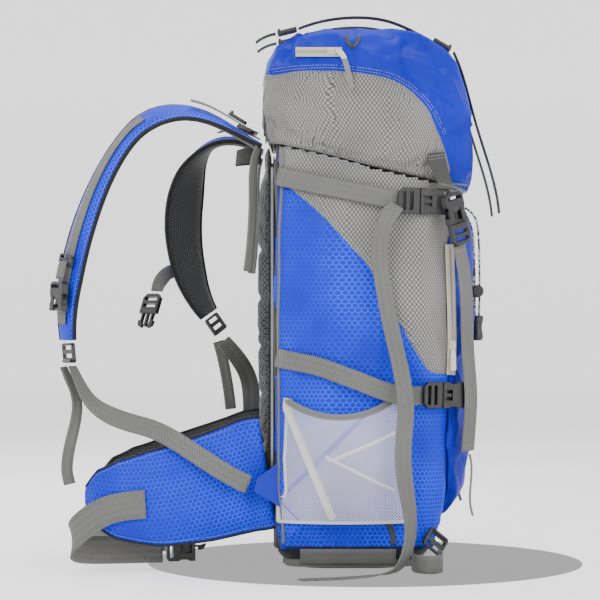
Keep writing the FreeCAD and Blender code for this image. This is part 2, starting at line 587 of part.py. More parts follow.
# ---------------------------------------------------------------- chest strap, unfastened
slider_out = RAIL_OUT + WEB_T / 2 + 2 + 1.4
for name in ("left", "right"):
    keep("chest_slider_" + name, seat(strap_slider(), chest_stations[name], slider_out))
at, _, _, inwards = chest_stations["left"]
face = at - inwards * (slider_out + 4.4)
hang = [face + V(0, 0, -2), face + V(-3, -1, -14), face + V(-5, -2, -26)]
keep("chest_webbing_left", ribbon([tuple(p) for p in hang], [tuple(chest_stations["left"][2])], 20))
keep("chest_socket", place(buckle_socket(), face + V(-6.5, -2.6, -69), (0.04, 0.01, 1), tuple(inwards * -1)))
at, _, across, inwards = chest_stations["right"]
edge = at - inwards * slider_out - across * 18
drop = [edge, edge + V(-9, -8, -4), edge + V(-18, -16, -15), edge + V(-23, -21, -29)]
keep("chest_webbing_right", ribbon([tuple(p) for p in drop], [(0.1, 0.1, 1), (0.5, 0.5, 0.6), (0.6, -0.3, 0.2)], 20))
keep("chest_plug", place(buckle_plug(15.4), edge + V(-34, -31, -61), (-0.25, -0.25, -0.93), (-0.6, -0.6, 0.3)))

# ---------------------------------------------------------------- hip belt, unfastened
WING = [  # x, y, lowest and highest point, thickness
    (-134, -116, 56, 208, 7), (-152, -118, 52, 206, 9), (-178, -128, 48, 196, 14), (-222, -142, 40, 181, 16),
    (-288, -147, 35, 162, 16), (-334, -138, 44, 149, 15), (-360, -126, 60, 136, 12), (-376, -114, 82, 114, 7)]


def wing_section(i):
    """Upright section of the hip wing, square to its plan line, with soft edges."""
    x, y, low, high, t = WING[i]
    before, after = WING[max(i - 1, 0)], WING[min(i + 1, len(WING) - 1)]
    across = V(after[1] - before[1], before[0] - after[0], 0).normalize() * (t / 2)
    e = t * 0.45
    outline = ((-1, low + e), (-0.4, low), (0.4, low), (1, low + e), (1, high - e), (0.4, high), (-0.4, high),
               (-1, high - e))
    return polygon([V(x, y, z) + across * s for s, z in outline])


keep_pair("hip_wing", Part.makeLoft([wing_section(i) for i in range(len(WING))], True, True))
waist_line = [(-294, -157.4, 92), (-322, -153.6, 89), (-348, -149, 82), (-374, -143, 66), (-392, -132, 46),
              (-392, -116, 32), (-372, -100, 26), (-335, -88, 25), (-300, -79, 25), (-276, -74, 25)]
keep_pair("waist_webbing", ribbon(waist_line, [(0, 0, 1)], WAIST_WEB, 1.8, 30))
keep("waist_socket", place(buckle_socket(), (-233, -62, 25), (-1, -0.28, 0), (-0.28, -1, 0)))
keep("waist_plug", place(buckle_plug(15.4), (-243, 64, 25), (1, -0.28, 0), (0.28, -1, 0)))

# ---------------------------------------------------------------- haul loop, base straps, tool loops
haul_line = [(-144, -26, 562), (-162, -23, 561), (-175, -12, 559), (-178, 0, 558), (-175, 12, 559), (-162, 23, 561),
             (-144, 26, 562)]
keep("haul_loop", ribbon(haul_line, [(0.1, 0, 1)], 22, 2.2, 18))
base_line = [(-90, -128.6, 20), (-50, -129.2, 20), (0, -129.2, 20), (38, -128.8, 20)]
base_strap = ribbon(base_line, [(0, -0.5, 0.86)]).cut([skin(BASE), bag_outside])
base_lock = place(ladder_lock(), (90, -131, 40), (0.5, 0.3, 0.8), (0.5, -0.86, 0))
keep("base_straps", *both(base_strap))
keep("base_locks", *both(base_lock))
loop_line = [(60, -140, 24), (58, -158, 19), (60, -180, 17), (70, -200, 17), (84, -204, 17), (94, -190, 17), (97, -168, 18),
             (92, -148, 22)]
keep("tool_loops", *both(ribbon(loop_line, [(0, 0, 1)], 24, 2, 24)))

# ---------------------------------------------------------------- write
faces = 0
for name, solids in nodes.items():
    pieces = [p for s in solids for p in s.Solids]
    for p in pieces:
        if not p.isValid() or p.Volume <= 0:
            print("CHECK", name, p.isValid(), round(p.Volume))
    if len(pieces) != len(solids):
        print("CHECK", name, "has", len(pieces), "pieces, not", len(solids))
    faces += sum(len(p.Faces) for p in pieces)
    (pieces[0] if len(pieces) == 1 else Part.makeCompound(pieces)).exportStep("parts/%s.step" % name)
print(len(nodes), "nodes,", faces, "faces")
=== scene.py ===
# %% [markdown]
# Trekking backpack, stuffed and standing on its base. The CAD frame says where every piece is and what
# it moves with. Each soft piece is made again here as cloth, foam or webbing in the space its CAD solid
# holds, and the moulded and metal pieces keep their CAD shape and get a finish.

# %% Load the frame
import json
import math
import bmesh
import bpy
import numpy as np
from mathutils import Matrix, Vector, noise
from mathutils.bvhtree import BVHTree


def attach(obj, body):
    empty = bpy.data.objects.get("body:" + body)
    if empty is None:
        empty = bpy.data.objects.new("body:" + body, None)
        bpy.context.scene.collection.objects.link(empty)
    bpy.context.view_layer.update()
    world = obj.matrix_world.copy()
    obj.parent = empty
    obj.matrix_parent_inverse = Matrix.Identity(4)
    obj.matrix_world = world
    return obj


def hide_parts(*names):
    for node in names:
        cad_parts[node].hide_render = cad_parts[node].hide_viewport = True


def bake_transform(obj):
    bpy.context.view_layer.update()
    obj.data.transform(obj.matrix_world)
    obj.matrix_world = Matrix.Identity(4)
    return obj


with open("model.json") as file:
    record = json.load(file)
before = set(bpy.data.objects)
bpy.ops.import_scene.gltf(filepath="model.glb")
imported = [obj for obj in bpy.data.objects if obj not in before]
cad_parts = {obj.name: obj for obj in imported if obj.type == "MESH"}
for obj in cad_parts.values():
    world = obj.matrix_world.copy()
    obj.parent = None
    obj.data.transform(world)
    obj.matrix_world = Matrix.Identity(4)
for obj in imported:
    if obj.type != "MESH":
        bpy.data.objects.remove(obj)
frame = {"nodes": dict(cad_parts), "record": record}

NODES = frame["nodes"]
BODY_OF = {node: body for body, nodes in frame["record"]["behaviour"]["bodies"].items() for node in nodes}
SIDES = ((-1, "left"), (1, "right"))
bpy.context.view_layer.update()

# %% [markdown]
# The camera, the lamps and every piece go into the scene through one helper.


# %% New objects
def new_object(name, data):
    made = bpy.data.objects.new(name, data)
    bpy.context.scene.collection.objects.link(made)
    return made


# %% [markdown]
# The camera comes first, because it says how large a detail has to be to show. A long lens a few metres
# away looks square at the wearer's left side, so the far strap is only a little smaller than the near one.

# %% Camera
lens = bpy.data.cameras.new("side view")
lens.lens, lens.sensor_width = 145, 36
camera = new_object("side view", lens)
camera.location = (-0.09, -3.35, 0.362)
camera.rotation_euler = (math.radians(90), 0, 0)
bpy.context.scene.camera = camera

# %% [markdown]
# Most pieces are made from lists of points and faces. These helpers make such a piece and move its points.


# %% Mesh helpers
def make_mesh(name, points, faces, materials=(), uv=None):
    """A new object at the origin. uv gives one pair for each corner of each face."""
    mesh = bpy.data.meshes.new(name)
    mesh.from_pydata([tuple(p) for p in points], [], [tuple(f) for f in faces])
    for material in materials:
        mesh.materials.append(material)
    if uv is not None:
        layer = mesh.uv_layers.new(name="cloth")
        layer.data.foreach_set("uv", np.asarray(uv, np.float32).ravel())
    mesh.shade_smooth()
    return new_object(name, mesh)


def points_of(piece, what="co"):
    values = np.empty(len(piece.data.vertices) * 3, np.float32)
    piece.data.vertices.foreach_get(what, values)
    return values.reshape(-1, 3).astype(float)


def normals_of(piece):
    return points_of(piece, "normal")


def set_points(piece, co):
    piece.data.vertices.foreach_set("co", np.asarray(co, np.float32).ravel())
    piece.data.update()


def unit(rows):
    return rows / np.linalg.norm(rows, axis=1)[:, None]


# %% [markdown]
# A pale paper floor, flat under the pack and curved up all round beyond every camera, so that no horizon
# line shows and the pack can be looked at from any side.

# %% Paper sweep
FLAT_TO, BEND, WALL_TOP, GAP_UNDER, TURNS = 8.0, 1.5, 5.0, 0.0006, 64
profile = [(0.3, 0.0), (FLAT_TO, 0.0)]
profile += [(FLAT_TO + math.sin(a) * BEND, BEND - math.cos(a) * BEND) for a in np.linspace(0.1, math.pi / 2, 10)]
profile.append((FLAT_TO + BEND, WALL_TOP))
count = len(profile)
sweep_points = [(r * math.cos(t), r * math.sin(t), z - GAP_UNDER)
                for t in np.linspace(0, 2 * math.pi, TURNS, endpoint=False) for r, z in profile]
sweep_faces = [(k * count + i, k * count + i + 1, (k + 1) % TURNS * count + i + 1, (k + 1) % TURNS * count + i)
               for k in range(TURNS) for i in range(count - 1)]
sweep_faces.append([k * count for k in reversed(range(TURNS))])
sweep = make_mesh("paper sweep", sweep_points, sweep_faces)

# %% [markdown]
# Four large soft lamps and a bright room leave only a faint shadow, so that the cloth shows its own colour.


# %% Soft boxes
def soft_box(name, at, target, size, power):
    lamp = bpy.data.lights.new(name, "AREA")
    lamp.energy, lamp.size = power, size
    holder = new_object(name, lamp)
    holder.location = at
    holder.rotation_euler = (Vector(target) - Vector(at)).to_track_quat("-Z", "Y").to_euler()


soft_box("key light", (-1.3, -2.6, 1.9), (0, 0, 0.35), 1.6, 62)
soft_box("fill light", (1.9, -2.2, 1.3), (0, 0, 0.4), 1.8, 40)
soft_box("top light", (0.1, 0.2, 2.4), (0, 0, 0.3), 1.6, 34)
soft_box("rear light", (-1.6, 1.6, 1.4), (-0.1, 0, 0.4), 1.4, 22)
world = bpy.data.worlds.new("bright room")
world.use_nodes = True
background = world.node_tree.nodes["Background"]
background.inputs["Color"].default_value = (1, 1, 1, 1)
background.inputs["Strength"].default_value = 0.75
bpy.context.scene.world = world

# %% [markdown]
# Every finish is made of nodes. These small helpers keep the trees short: one adds a node, one adds a
# sum on numbers, one a sum on vectors.


# %% Node helpers
def add_node(tree, kind, **settings):
    node = tree.nodes.new(kind)
    for key, value in settings.items():
        setattr(node, key, value)
    return node


def feed(tree, value, socket):
    if isinstance(value, bpy.types.NodeSocket):
        tree.links.new(value, socket)
    else:
        socket.default_value = value


def sum_of(tree, operation, *values):
    node = add_node(tree, "ShaderNodeMath", operation=operation)
    for i, value in enumerate(values):
        feed(tree, value, node.inputs[i])
    return node.outputs[0]


def vector_of(tree, operation, *values):
    node = add_node(tree, "ShaderNodeVectorMath", operation=operation)
    for i, value in enumerate(values):
        feed(tree, value, node.inputs[3 if operation == "SCALE" and i == 1 else i])
    return node.outputs["Value" if operation in ("DOT_PRODUCT", "LENGTH") else "Vector"]


def split(tree, vector):
    """The X, Y and Z of a vector."""
    node = tree.nodes.new("ShaderNodeSeparateXYZ")
    feed(tree, vector, node.inputs[0])
    return node.outputs


def joined(tree, x, y):
    node = tree.nodes.new("ShaderNodeCombineXYZ")
    feed(tree, x, node.inputs["X"])
    feed(tree, y, node.inputs["Y"])
    return node.outputs[0]


def object_place(tree):
    return tree.nodes.new("ShaderNodeTexCoord").outputs["Object"]


def own_map(tree):
    """The piece's own map, in metres along and across its cloth."""
    return add_node(tree, "ShaderNodeUVMap", uv_map="cloth").outputs["UV"]


def in_cells(tree, source):
    """A group's Vector input, counted in cells."""
    return vector_of(tree, "SCALE", source.outputs["Vector"], sum_of(tree, "DIVIDE", 1.0, source.outputs["Cell"]))


def ramp(tree, value, low, high):
    """0 at low, 1 at high, smooth between."""
    node = add_node(tree, "ShaderNodeMapRange", interpolation_type="SMOOTHSTEP")
    feed(tree, value, node.inputs["Value"])
    node.inputs["From Min"].default_value, node.inputs["From Max"].default_value = low, high
    return node.outputs["Result"]


def mixed(tree, share, a, b):
    node = add_node(tree, "ShaderNodeMix", data_type="RGBA")
    feed(tree, share, node.inputs["Factor"])
    feed(tree, a, node.inputs[6])
    feed(tree, b, node.inputs[7])
    return node.outputs[2]


def new_group(name, inputs, outputs):
    tree = bpy.data.node_groups.new(name, "ShaderNodeTree")
    for label, kind, value in inputs:
        socket = tree.interface.new_socket(label, in_out="INPUT", socket_type="NodeSocket" + kind)
        if value is not None:
            socket.default_value = value
    for label, kind in outputs:
        tree.interface.new_socket(label, in_out="OUTPUT", socket_type="NodeSocket" + kind)
    return tree, tree.nodes.new("NodeGroupInput"), tree.nodes.new("NodeGroupOutput")


def use_group(tree, group, **values):
    node = add_node(tree, "ShaderNodeGroup", node_tree=group)
    for label, value in values.items():
        feed(tree, value, node.inputs[label.replace("_", " ")])
    return node


# %% [markdown]
# The body fabric is one length of cloth that goes round the pack, so its pattern is laid out by distance
# round the pack and by height. On a side that distance is x. Round a corner x stops changing and the
# distance from the middle starts to fall, so that fall is added in front and taken away behind.

# %% Cloth lay
HALF_WIDTH, TURN_DEPTH = 0.135, 0.06
cloth_lay, _, lay_out = new_group("cloth lay", [], [("Vector", "Vector")])
place = split(cloth_lay, object_place(cloth_lay))
fall = sum_of(cloth_lay, "SUBTRACT", HALF_WIDTH, sum_of(cloth_lay, "ABSOLUTE", place["Y"]))
front_or_rear = sum_of(cloth_lay, "DIVIDE", place["X"], TURN_DEPTH)
front_or_rear = sum_of(cloth_lay, "MAXIMUM", -1.0, sum_of(cloth_lay, "MINIMUM", 1.0, front_or_rear))
round_pack = sum_of(cloth_lay, "ADD", place["X"], sum_of(cloth_lay, "MULTIPLY", fall, front_or_rear))
feed(cloth_lay, joined(cloth_lay, round_pack, place["Z"]), lay_out.inputs["Vector"])

# %% [markdown]
# The blue fabric has a printed honeycomb: lighter lines round six-sided cells. Two offset grids of boxes
# find the nearest cell middle, and the distance to the cell's edge gives both the line and its relief.

# %% Honeycomb group
honeycomb, hive_in, hive_out = new_group(
    "honeycomb", [("Vector", "Vector", None), ("Cell", "Float", 0.006)], [("Line", "Float"), ("Relief", "Float")])
cells = in_cells(honeycomb, hive_in)
PITCH, HALF_PITCH = (1.0, 1.7320508, 1.0), (0.5, 0.8660254, 0.0)


def cell_offset(shift):
    moved = vector_of(honeycomb, "SUBTRACT", cells, shift)
    part = vector_of(honeycomb, "FRACTION", vector_of(honeycomb, "DIVIDE", moved, PITCH))
    return vector_of(honeycomb, "SUBTRACT", vector_of(honeycomb, "MULTIPLY", part, PITCH), HALF_PITCH)


cell_a, cell_b = cell_offset((0, 0, 0)), cell_offset(HALF_PITCH)
nearer = sum_of(honeycomb, "LESS_THAN", vector_of(honeycomb, "DOT_PRODUCT", cell_a, cell_a),
                vector_of(honeycomb, "DOT_PRODUCT", cell_b, cell_b))
chosen = vector_of(honeycomb, "ADD", cell_b,
                   vector_of(honeycomb, "SCALE", vector_of(honeycomb, "SUBTRACT", cell_a, cell_b), nearer))
folded = vector_of(honeycomb, "ABSOLUTE", chosen)
slanted = vector_of(honeycomb, "DOT_PRODUCT", folded, HALF_PITCH)
to_edge = sum_of(honeycomb, "SUBTRACT", 0.5, sum_of(honeycomb, "MAXIMUM", split(honeycomb, folded)["X"], slanted))
feed(honeycomb, ramp(honeycomb, to_edge, 0.13, 0.05), hive_out.inputs["Line"])
feed(honeycomb, ramp(honeycomb, to_edge, 0.0, 0.4), hive_out.inputs["Relief"])

# %% [markdown]
# The grey fabric is a diamond ripstop: two slanted sets of thick yarns cross as darker lines, and the cells
# between them are lighter.

# %% Diamond group
diamonds, gem_in, gem_out = new_group(
    "diamond ripstop", [("Vector", "Vector", None), ("Cell", "Float", 0.004)],
    [("Line", "Float"), ("Relief", "Float")])
gem_place = split(diamonds, in_cells(diamonds, gem_in))
rise = sum_of(diamonds, "MULTIPLY", gem_place["Y"], 0.62)


def yarn(operation):
    slant = sum_of(diamonds, operation, gem_place["X"], rise)
    part = sum_of(diamonds, "SUBTRACT", sum_of(diamonds, "FRACT", slant), 0.5)
    return sum_of(diamonds, "ABSOLUTE", part)


yarn_a, yarn_b = yarn("ADD"), yarn("SUBTRACT")
crossing = sum_of(diamonds, "MAXIMUM", yarn_a, yarn_b)
feed(diamonds, ramp(diamonds, crossing, 0.3, 0.44), gem_out.inputs["Line"])
feed(diamonds, sum_of(diamonds, "SUBTRACT", 0.5, crossing), gem_out.inputs["Relief"])

# %% [markdown]
# Webbing is a herringbone: the slant of the yarn changes side every few millimetres across the strap.
# It reads the strap's own map, which runs along the strap in one direction and across it in the other.

# %% Webbing group
herringbone, bone_in, bone_out = new_group(
    "herringbone", [("Vector", "Vector", None), ("Rib", "Float", 0.0042), ("Pick", "Float", 0.0026)],
    [("Yarn", "Float"), ("Relief", "Float")])
run = split(herringbone, bone_in.outputs["Vector"])
rib = sum_of(herringbone, "DIVIDE", run["Y"], bone_in.outputs["Rib"])
zigzag = sum_of(herringbone, "PINGPONG", rib, 1.0)
along = sum_of(herringbone, "DIVIDE", run["X"], bone_in.outputs["Pick"])
slant = sum_of(herringbone, "ADD", along, sum_of(herringbone, "MULTIPLY", zigzag, 1.3))
slope = sum_of(herringbone, "FRACT", slant)
yarn_height = sum_of(herringbone, "PINGPONG", sum_of(herringbone, "MULTIPLY", slope, 2.0), 1.0)
feed(herringbone, ramp(herringbone, yarn_height, 0.2, 0.8), bone_out.inputs["Yarn"])
feed(herringbone, sum_of(herringbone, "MULTIPLY", yarn_height, sum_of(herringbone, "ADD", 0.6, zigzag)),
     bone_out.inputs["Relief"])

# %% [markdown]
# Use leaves the same marks on every cloth: slow changes of shade, and small creases. One group makes
# both from noise, and each fabric takes as much of them as it shows.

# %% Cloth life group
cloth_life, life_in, life_out = new_group(
    "cloth life", [("Crease size", "Float", 22.0)], [("Shade", "Float"), ("Crease", "Float"), ("Grain", "Float")])
life_place = object_place(cloth_life)


def life_noise(scale, detail, distortion=0.0):
    node = add_node(cloth_life, "ShaderNodeTexNoise")
    feed(cloth_life, life_place, node.inputs["Vector"])
    feed(cloth_life, scale, node.inputs["Scale"])
    node.inputs["Detail"].default_value, node.inputs["Distortion"].default_value = detail, distortion
    return node.outputs["Fac"]


feed(cloth_life, life_noise(9.0, 3.0), life_out.inputs["Shade"])
fold = sum_of(cloth_life, "ABSOLUTE",
              sum_of(cloth_life, "SUBTRACT", life_noise(life_in.outputs["Crease size"], 3.0, 1.2), 0.5))
feed(cloth_life, ramp(cloth_life, fold, 0.0, 0.16), life_out.inputs["Crease"])
feed(cloth_life, life_noise(900.0, 2.0), life_out.inputs["Grain"])

# %% [markdown]
# A finish is a shader, the noise that makes it look used, and its relief.


# %% Material helpers
def new_material(name, roughness, metallic=0.0, sheen=0.0, specular=0.5):
    made = bpy.data.materials.new(name)
    made.use_nodes = True
    shader = made.node_tree.nodes["Principled BSDF"]
    for label, value in (("Roughness", roughness), ("Metallic", metallic), ("Sheen Weight", sheen),
                         ("Sheen Roughness", 0.4), ("Specular IOR Level", specular)):
        shader.inputs[label].default_value = value
    return made, made.node_tree, shader


def bump(tree, shader, height, strength, distance, below=None):
    node = add_node(tree, "ShaderNodeBump")
    node.inputs["Strength"].default_value, node.inputs["Distance"].default_value = strength, distance
    feed(tree, height, node.inputs["Height"])
    if below is not None:
        feed(tree, below, node.inputs["Normal"])
    tree.links.new(node.outputs["Normal"], shader.inputs["Normal"])
    return node.outputs["Normal"]


def grade(tree, colour, life, low=0.82, high=1.15):
    """The colour, a little darker or lighter from place to place."""
    node = add_node(tree, "ShaderNodeMix", data_type="RGBA", blend_type="MULTIPLY")
    node.inputs["Factor"].default_value = 1.0
    feed(tree, colour, node.inputs[6])
    shade = add_node(tree, "ShaderNodeMapRange")
    feed(tree, life.outputs["Shade"], shade.inputs["Value"])
    for label, value in (("From Min", 0.3), ("From Max", 0.7), ("To Min", low), ("To Max", high)):
        shade.inputs[label].default_value = value
    feed(tree, shade.outputs["Result"], node.inputs[7])
    return node.outputs[2]


def rgb(r, g, b):
    return (r, g, b, 1.0)


HIVE_CELL, GEM_CELL, KNIT_CELL = 0.0066, 0.0046, 0.0042
BLUE, BLUE_PLAIN, BLUE_LINE = rgb(0.0, 0.012, 0.46), rgb(0.0, 0.008, 0.34), rgb(0.004, 0.06, 0.85)
GREY_DARK, GREY_LIGHT = rgb(0.06, 0.06, 0.057), rgb(0.235, 0.232, 0.22)


# %% [markdown]
# Two-coloured panels are one mesh and one material. Each point of the mesh carries its distance from the
# seam line, so the change of colour follows the sewn curve exactly, whatever the mesh under it.


# %% Panel cloth
def hive_colours(tree, lay, life):
    hive = use_group(tree, honeycomb, Vector=lay, Cell=HIVE_CELL)
    faded = sum_of(tree, "MULTIPLY", hive.outputs["Line"], ramp(tree, life.outputs["Shade"], 0.25, 0.6))
    return mixed(tree, faded, BLUE, BLUE_LINE), hive.outputs["Relief"]


def gem_colours(tree, lay):
    gem = use_group(tree, diamonds, Vector=lay, Cell=GEM_CELL)
    return mixed(tree, gem.outputs["Line"], GREY_LIGHT, GREY_DARK), gem.outputs["Relief"]


def panel_cloth(name, honeycombed):
    """Blue where the point attribute 'grey' is below zero, diamond grey where it is above."""
    made, tree, shader = new_material(name, 0.52, sheen=0.03, specular=0.16)
    lay = use_group(tree, cloth_lay).outputs["Vector"]
    life = use_group(tree, cloth_life, Crease_size=16.0)
    if honeycombed:
        blue, blue_relief = hive_colours(tree, lay, life)
    else:
        blue, blue_relief = BLUE_PLAIN, life.outputs["Grain"]
    grey, grey_relief = gem_colours(tree, lay)
    side = add_node(tree, "ShaderNodeAttribute", attribute_name="grey")
    share = ramp(tree, side.outputs["Fac"], -0.0006, 0.0006)
    feed(tree, grade(tree, mixed(tree, share, blue, grey), life), shader.inputs["Base Color"])
    relief = add_node(tree, "ShaderNodeMix", data_type="FLOAT")
    feed(tree, share, relief.inputs["Factor"])
    feed(tree, blue_relief, relief.inputs[2])
    feed(tree, grey_relief, relief.inputs[3])
    folds = bump(tree, shader, life.outputs["Crease"], 0.35, 0.0016)
    bump(tree, shader, relief.outputs[0], 0.5, 0.0005, folds)
    return made


bag_cloth = panel_cloth("honeycomb and diamond cloth", True)
lid_cloth = panel_cloth("lid cloth", False)

# %% [markdown]
# The pads have the same honeycomb, laid out by the pad's own map. The other cloths are plain.


# %% Single cloths
def mapped_hive(name):
    made, tree, shader = new_material(name, 0.5, sheen=0.03, specular=0.16)
    life = use_group(tree, cloth_life)
    blue, relief = hive_colours(tree, own_map(tree), life)
    feed(tree, grade(tree, blue, life), shader.inputs["Base Color"])
    bump(tree, shader, relief, 0.6, 0.0007)
    return made


def plain_cloth(name, colour, roughness, crease=0.3):
    made, tree, shader = new_material(name, roughness, sheen=0.15, specular=0.25)
    life = use_group(tree, cloth_life)
    feed(tree, grade(tree, colour, life), shader.inputs["Base Color"])
    folds = bump(tree, shader, life.outputs["Crease"], crease, 0.0012)
    bump(tree, shader, life.outputs["Grain"], 0.25, 0.0004, folds)
    return made


pad_cloth = mapped_hive("pad honeycomb")
base_cloth = plain_cloth("black base cloth", rgb(0.012, 0.012, 0.013), 0.62)
lining = plain_cloth("grey coated lining", rgb(0.16, 0.17, 0.18), 0.45)
blue_cloth = plain_cloth("plain blue cloth", BLUE_PLAIN, 0.5)

# %% [markdown]
# Black spacer mesh is a knit with small round holes that air goes through, and the holes are coloured near
# black as painted shade. A swept pad has its own map for it, and the remeshed back panel takes it across and up.


# %% Spacer mesh
def back_plane(tree):
    place = split(tree, object_place(tree))
    return joined(tree, place["Y"], place["Z"])


def spacer_material(name, lay_of):
    made, tree, shader = new_material(name, 0.85, sheen=0.3)
    hive = use_group(tree, honeycomb, Vector=lay_of(tree), Cell=KNIT_CELL)
    hole_with_painted_shade = ramp(tree, hive.outputs["Relief"], 0.25, 0.8)
    # Painted shade: inside the holes the knit is coloured near black, darker than the knit round them.
    feed(tree, mixed(tree, hole_with_painted_shade, rgb(0.035, 0.036, 0.04), rgb(0.002, 0.002, 0.002)), shader.inputs["Base Color"])
    bump(tree, shader, sum_of(tree, "SUBTRACT", 1.0, hole_with_painted_shade), 0.9, 0.0012)
    return made


spacer_mesh = spacer_material("black spacer mesh", own_map)
back_mesh = spacer_material("back spacer mesh", back_plane)

# %% [markdown]
# Straps have wide herringbone ribs. Binding, zip and net tapes have the same weave, much finer.


# %% Webbing finishes
def webbing_material(name, dark, light, rib=0.0042, pick=0.0026):
    made, tree, shader = new_material(name, 0.62, sheen=0.04, specular=0.25)
    bone = use_group(tree, herringbone, Vector=own_map(tree), Rib=rib, Pick=pick)
    life = use_group(tree, cloth_life)
    colour = grade(tree, mixed(tree, bone.outputs["Yarn"], dark, light), life, 0.88, 1.1)
    feed(tree, colour, shader.inputs["Base Color"])
    bump(tree, shader, bone.outputs["Relief"], 0.8, 0.0007)
    return made


grey_webbing = webbing_material("grey webbing", rgb(0.045, 0.045, 0.042), rgb(0.2, 0.2, 0.19))
dark_webbing = webbing_material("dark grey webbing", rgb(0.02, 0.021, 0.02), rgb(0.075, 0.077, 0.07))
FINE_RIB, FINE_PICK = 0.0016, 0.0014
grey_tape = webbing_material("grey binding tape", rgb(0.09, 0.09, 0.085), rgb(0.25, 0.25, 0.24), FINE_RIB, FINE_PICK)
black_tape = webbing_material("black binding tape", rgb(0.005, 0.005, 0.006), rgb(0.02, 0.02, 0.022),
                              FINE_RIB, FINE_PICK)
cream_tape = webbing_material("cream zip tape", rgb(0.42, 0.39, 0.32), rgb(0.66, 0.62, 0.53), 0.0014, 0.0012)
white_tape = webbing_material("white net tape", rgb(0.5, 0.5, 0.49), rgb(0.78, 0.78, 0.76), FINE_RIB, FINE_PICK)

# %% [markdown]
# Mouldings are glass-filled nylon or painted metal. The zip pull's grip is cloth below its metal eye.


# %% Moulded and metal finishes
def moulded(name, colour, roughness, scuff):
    """A fine spark grain, duller where it has been rubbed."""
    made, tree, shader = new_material(name, roughness)
    life = use_group(tree, cloth_life, Crease_size=60.0)
    rubbed = sum_of(tree, "MULTIPLY", ramp(tree, life.outputs["Shade"], 0.55, 0.75), scuff)
    feed(tree, mixed(tree, rubbed, colour, rgb(0.12, 0.12, 0.12)), shader.inputs["Base Color"])
    feed(tree, sum_of(tree, "ADD", roughness, sum_of(tree, "MULTIPLY", life.outputs["Grain"], 0.18)),
         shader.inputs["Roughness"])
    bump(tree, shader, life.outputs["Grain"], 0.25, 0.0003)
    return made


def graded(name, colour, roughness, **settings):
    """One colour that varies a little from place to place."""
    made, tree, shader = new_material(name, roughness, **settings)
    feed(tree, grade(tree, colour, use_group(tree, cloth_life)), shader.inputs["Base Color"])
    return made


black_nylon = moulded("black moulded nylon", rgb(0.009, 0.009, 0.01), 0.3, 0.25)
frame_nylon = moulded("black frame sheet", rgb(0.012, 0.012, 0.013), 0.45, 0.2)
cream_metal = moulded("painted zip metal", rgb(0.5, 0.47, 0.4), 0.3, 0.4)
# The coil is a darker cream than the zip tape: painted shade along the zip's middle line.
cream_coil_with_painted_shade = moulded("cream zip coil with painted shade", rgb(0.27, 0.245, 0.19), 0.35, 0.1)
pull_finish, pull_tree, pull_shader = new_material("zip pull with cloth grip", 0.5)
GRIP_TOP, EYE_LOW = 0.6815, 0.6835
eye_or_grip = ramp(pull_tree, split(pull_tree, object_place(pull_tree))["Z"], GRIP_TOP, EYE_LOW)
feed(pull_tree, mixed(pull_tree, eye_or_grip, rgb(0.13, 0.13, 0.125), rgb(0.5, 0.47, 0.4)),
     pull_shader.inputs["Base Color"])
stay_metal = graded("stay alloy", rgb(0.6, 0.6, 0.62), 0.3, metallic=1.0)
thread = graded("sewing thread", rgb(0.3, 0.3, 0.3), 0.6, sheen=0.2)
net_yarn = plain_cloth("white net yarn", rgb(0.8, 0.8, 0.78), 0.55, 0.0)
paper, _, paper_shader = new_material("pale paper", 0.95)
paper_shader.inputs["Base Color"].default_value = rgb(0.95, 0.95, 0.95)
paper_shader.inputs["Emission Color"].default_value = rgb(1, 1, 1)
paper_shader.inputs["Emission Strength"].default_value = 0.5
sweep.data.materials.append(paper)

# %% [markdown]
# Braided elastic has a black sheath with white marker yarns.

# %% Flecked elastic
elastic, elastic_tree, elastic_shader = new_material("flecked elastic", 0.55, sheen=0.2)
fleck = elastic_tree.nodes.new("ShaderNodeTexVoronoi")
feed(elastic_tree, object_place(elastic_tree), fleck.inputs["Vector"])
fleck.inputs["Scale"].default_value = 520
shade = elastic_tree.nodes.new("ShaderNodeSeparateColor")
feed(elastic_tree, fleck.outputs["Color"], shade.inputs[0])
white = ramp(elastic_tree, shade.outputs[0], 0.62, 0.68)
feed(elastic_tree, mixed(elastic_tree, white, rgb(0.012, 0.012, 0.012), rgb(0.6, 0.6, 0.58)),
     elastic_shader.inputs["Base Color"])
bump(elastic_tree, elastic_shader, fleck.outputs["Distance"], 0.6, 0.0004)

# %% [markdown]
# Each tool keeper is one loop of 3 mm elastic, sewn in at the front pocket's top. It hangs in front of the
# pocket, goes through the cord lock, and both strands end inside the moulded grip. The route is a smooth
# spline, so that it bends the way elastic does.

# %% Keeper cords
KEEPER_ROUTE = [(0.130, 0.484), (0.1405, 0.474), (0.1477, 0.440), (0.1477, 0.3306), (0.1543, 0.3306),
                (0.1543, 0.446), (0.148, 0.484), (0.125, 0.491)]
for side, label in SIDES:
    curve = bpy.data.curves.new("keeper elastic " + label, "CURVE")
    curve.dimensions, curve.bevel_depth, curve.bevel_resolution, curve.resolution_u = "3D", 0.0015, 4, 16
    line = curve.splines.new("NURBS")
    line.points.add(len(KEEPER_ROUTE) - 1)
    for point, (x, z) in zip(line.points, KEEPER_ROUTE):
        point.co = (x, side * 0.062, z, 1)
    line.order_u, line.use_endpoint_u = 3, True
    curve.materials.append(elastic)
    loop = new_object("keeper_elastic_" + label, curve)
    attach(loop, "pack")
    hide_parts("keeper_cord_" + label)

# %% [markdown]
# Every strap in the frame is a run of flat sections. Its two ends are the only places where three sharp
# edges meet at a corner, and from there the sharp edges lead along the strap, through every section.
# Reading them gives the strap's middle line, the direction of its width, and its width and thickness.


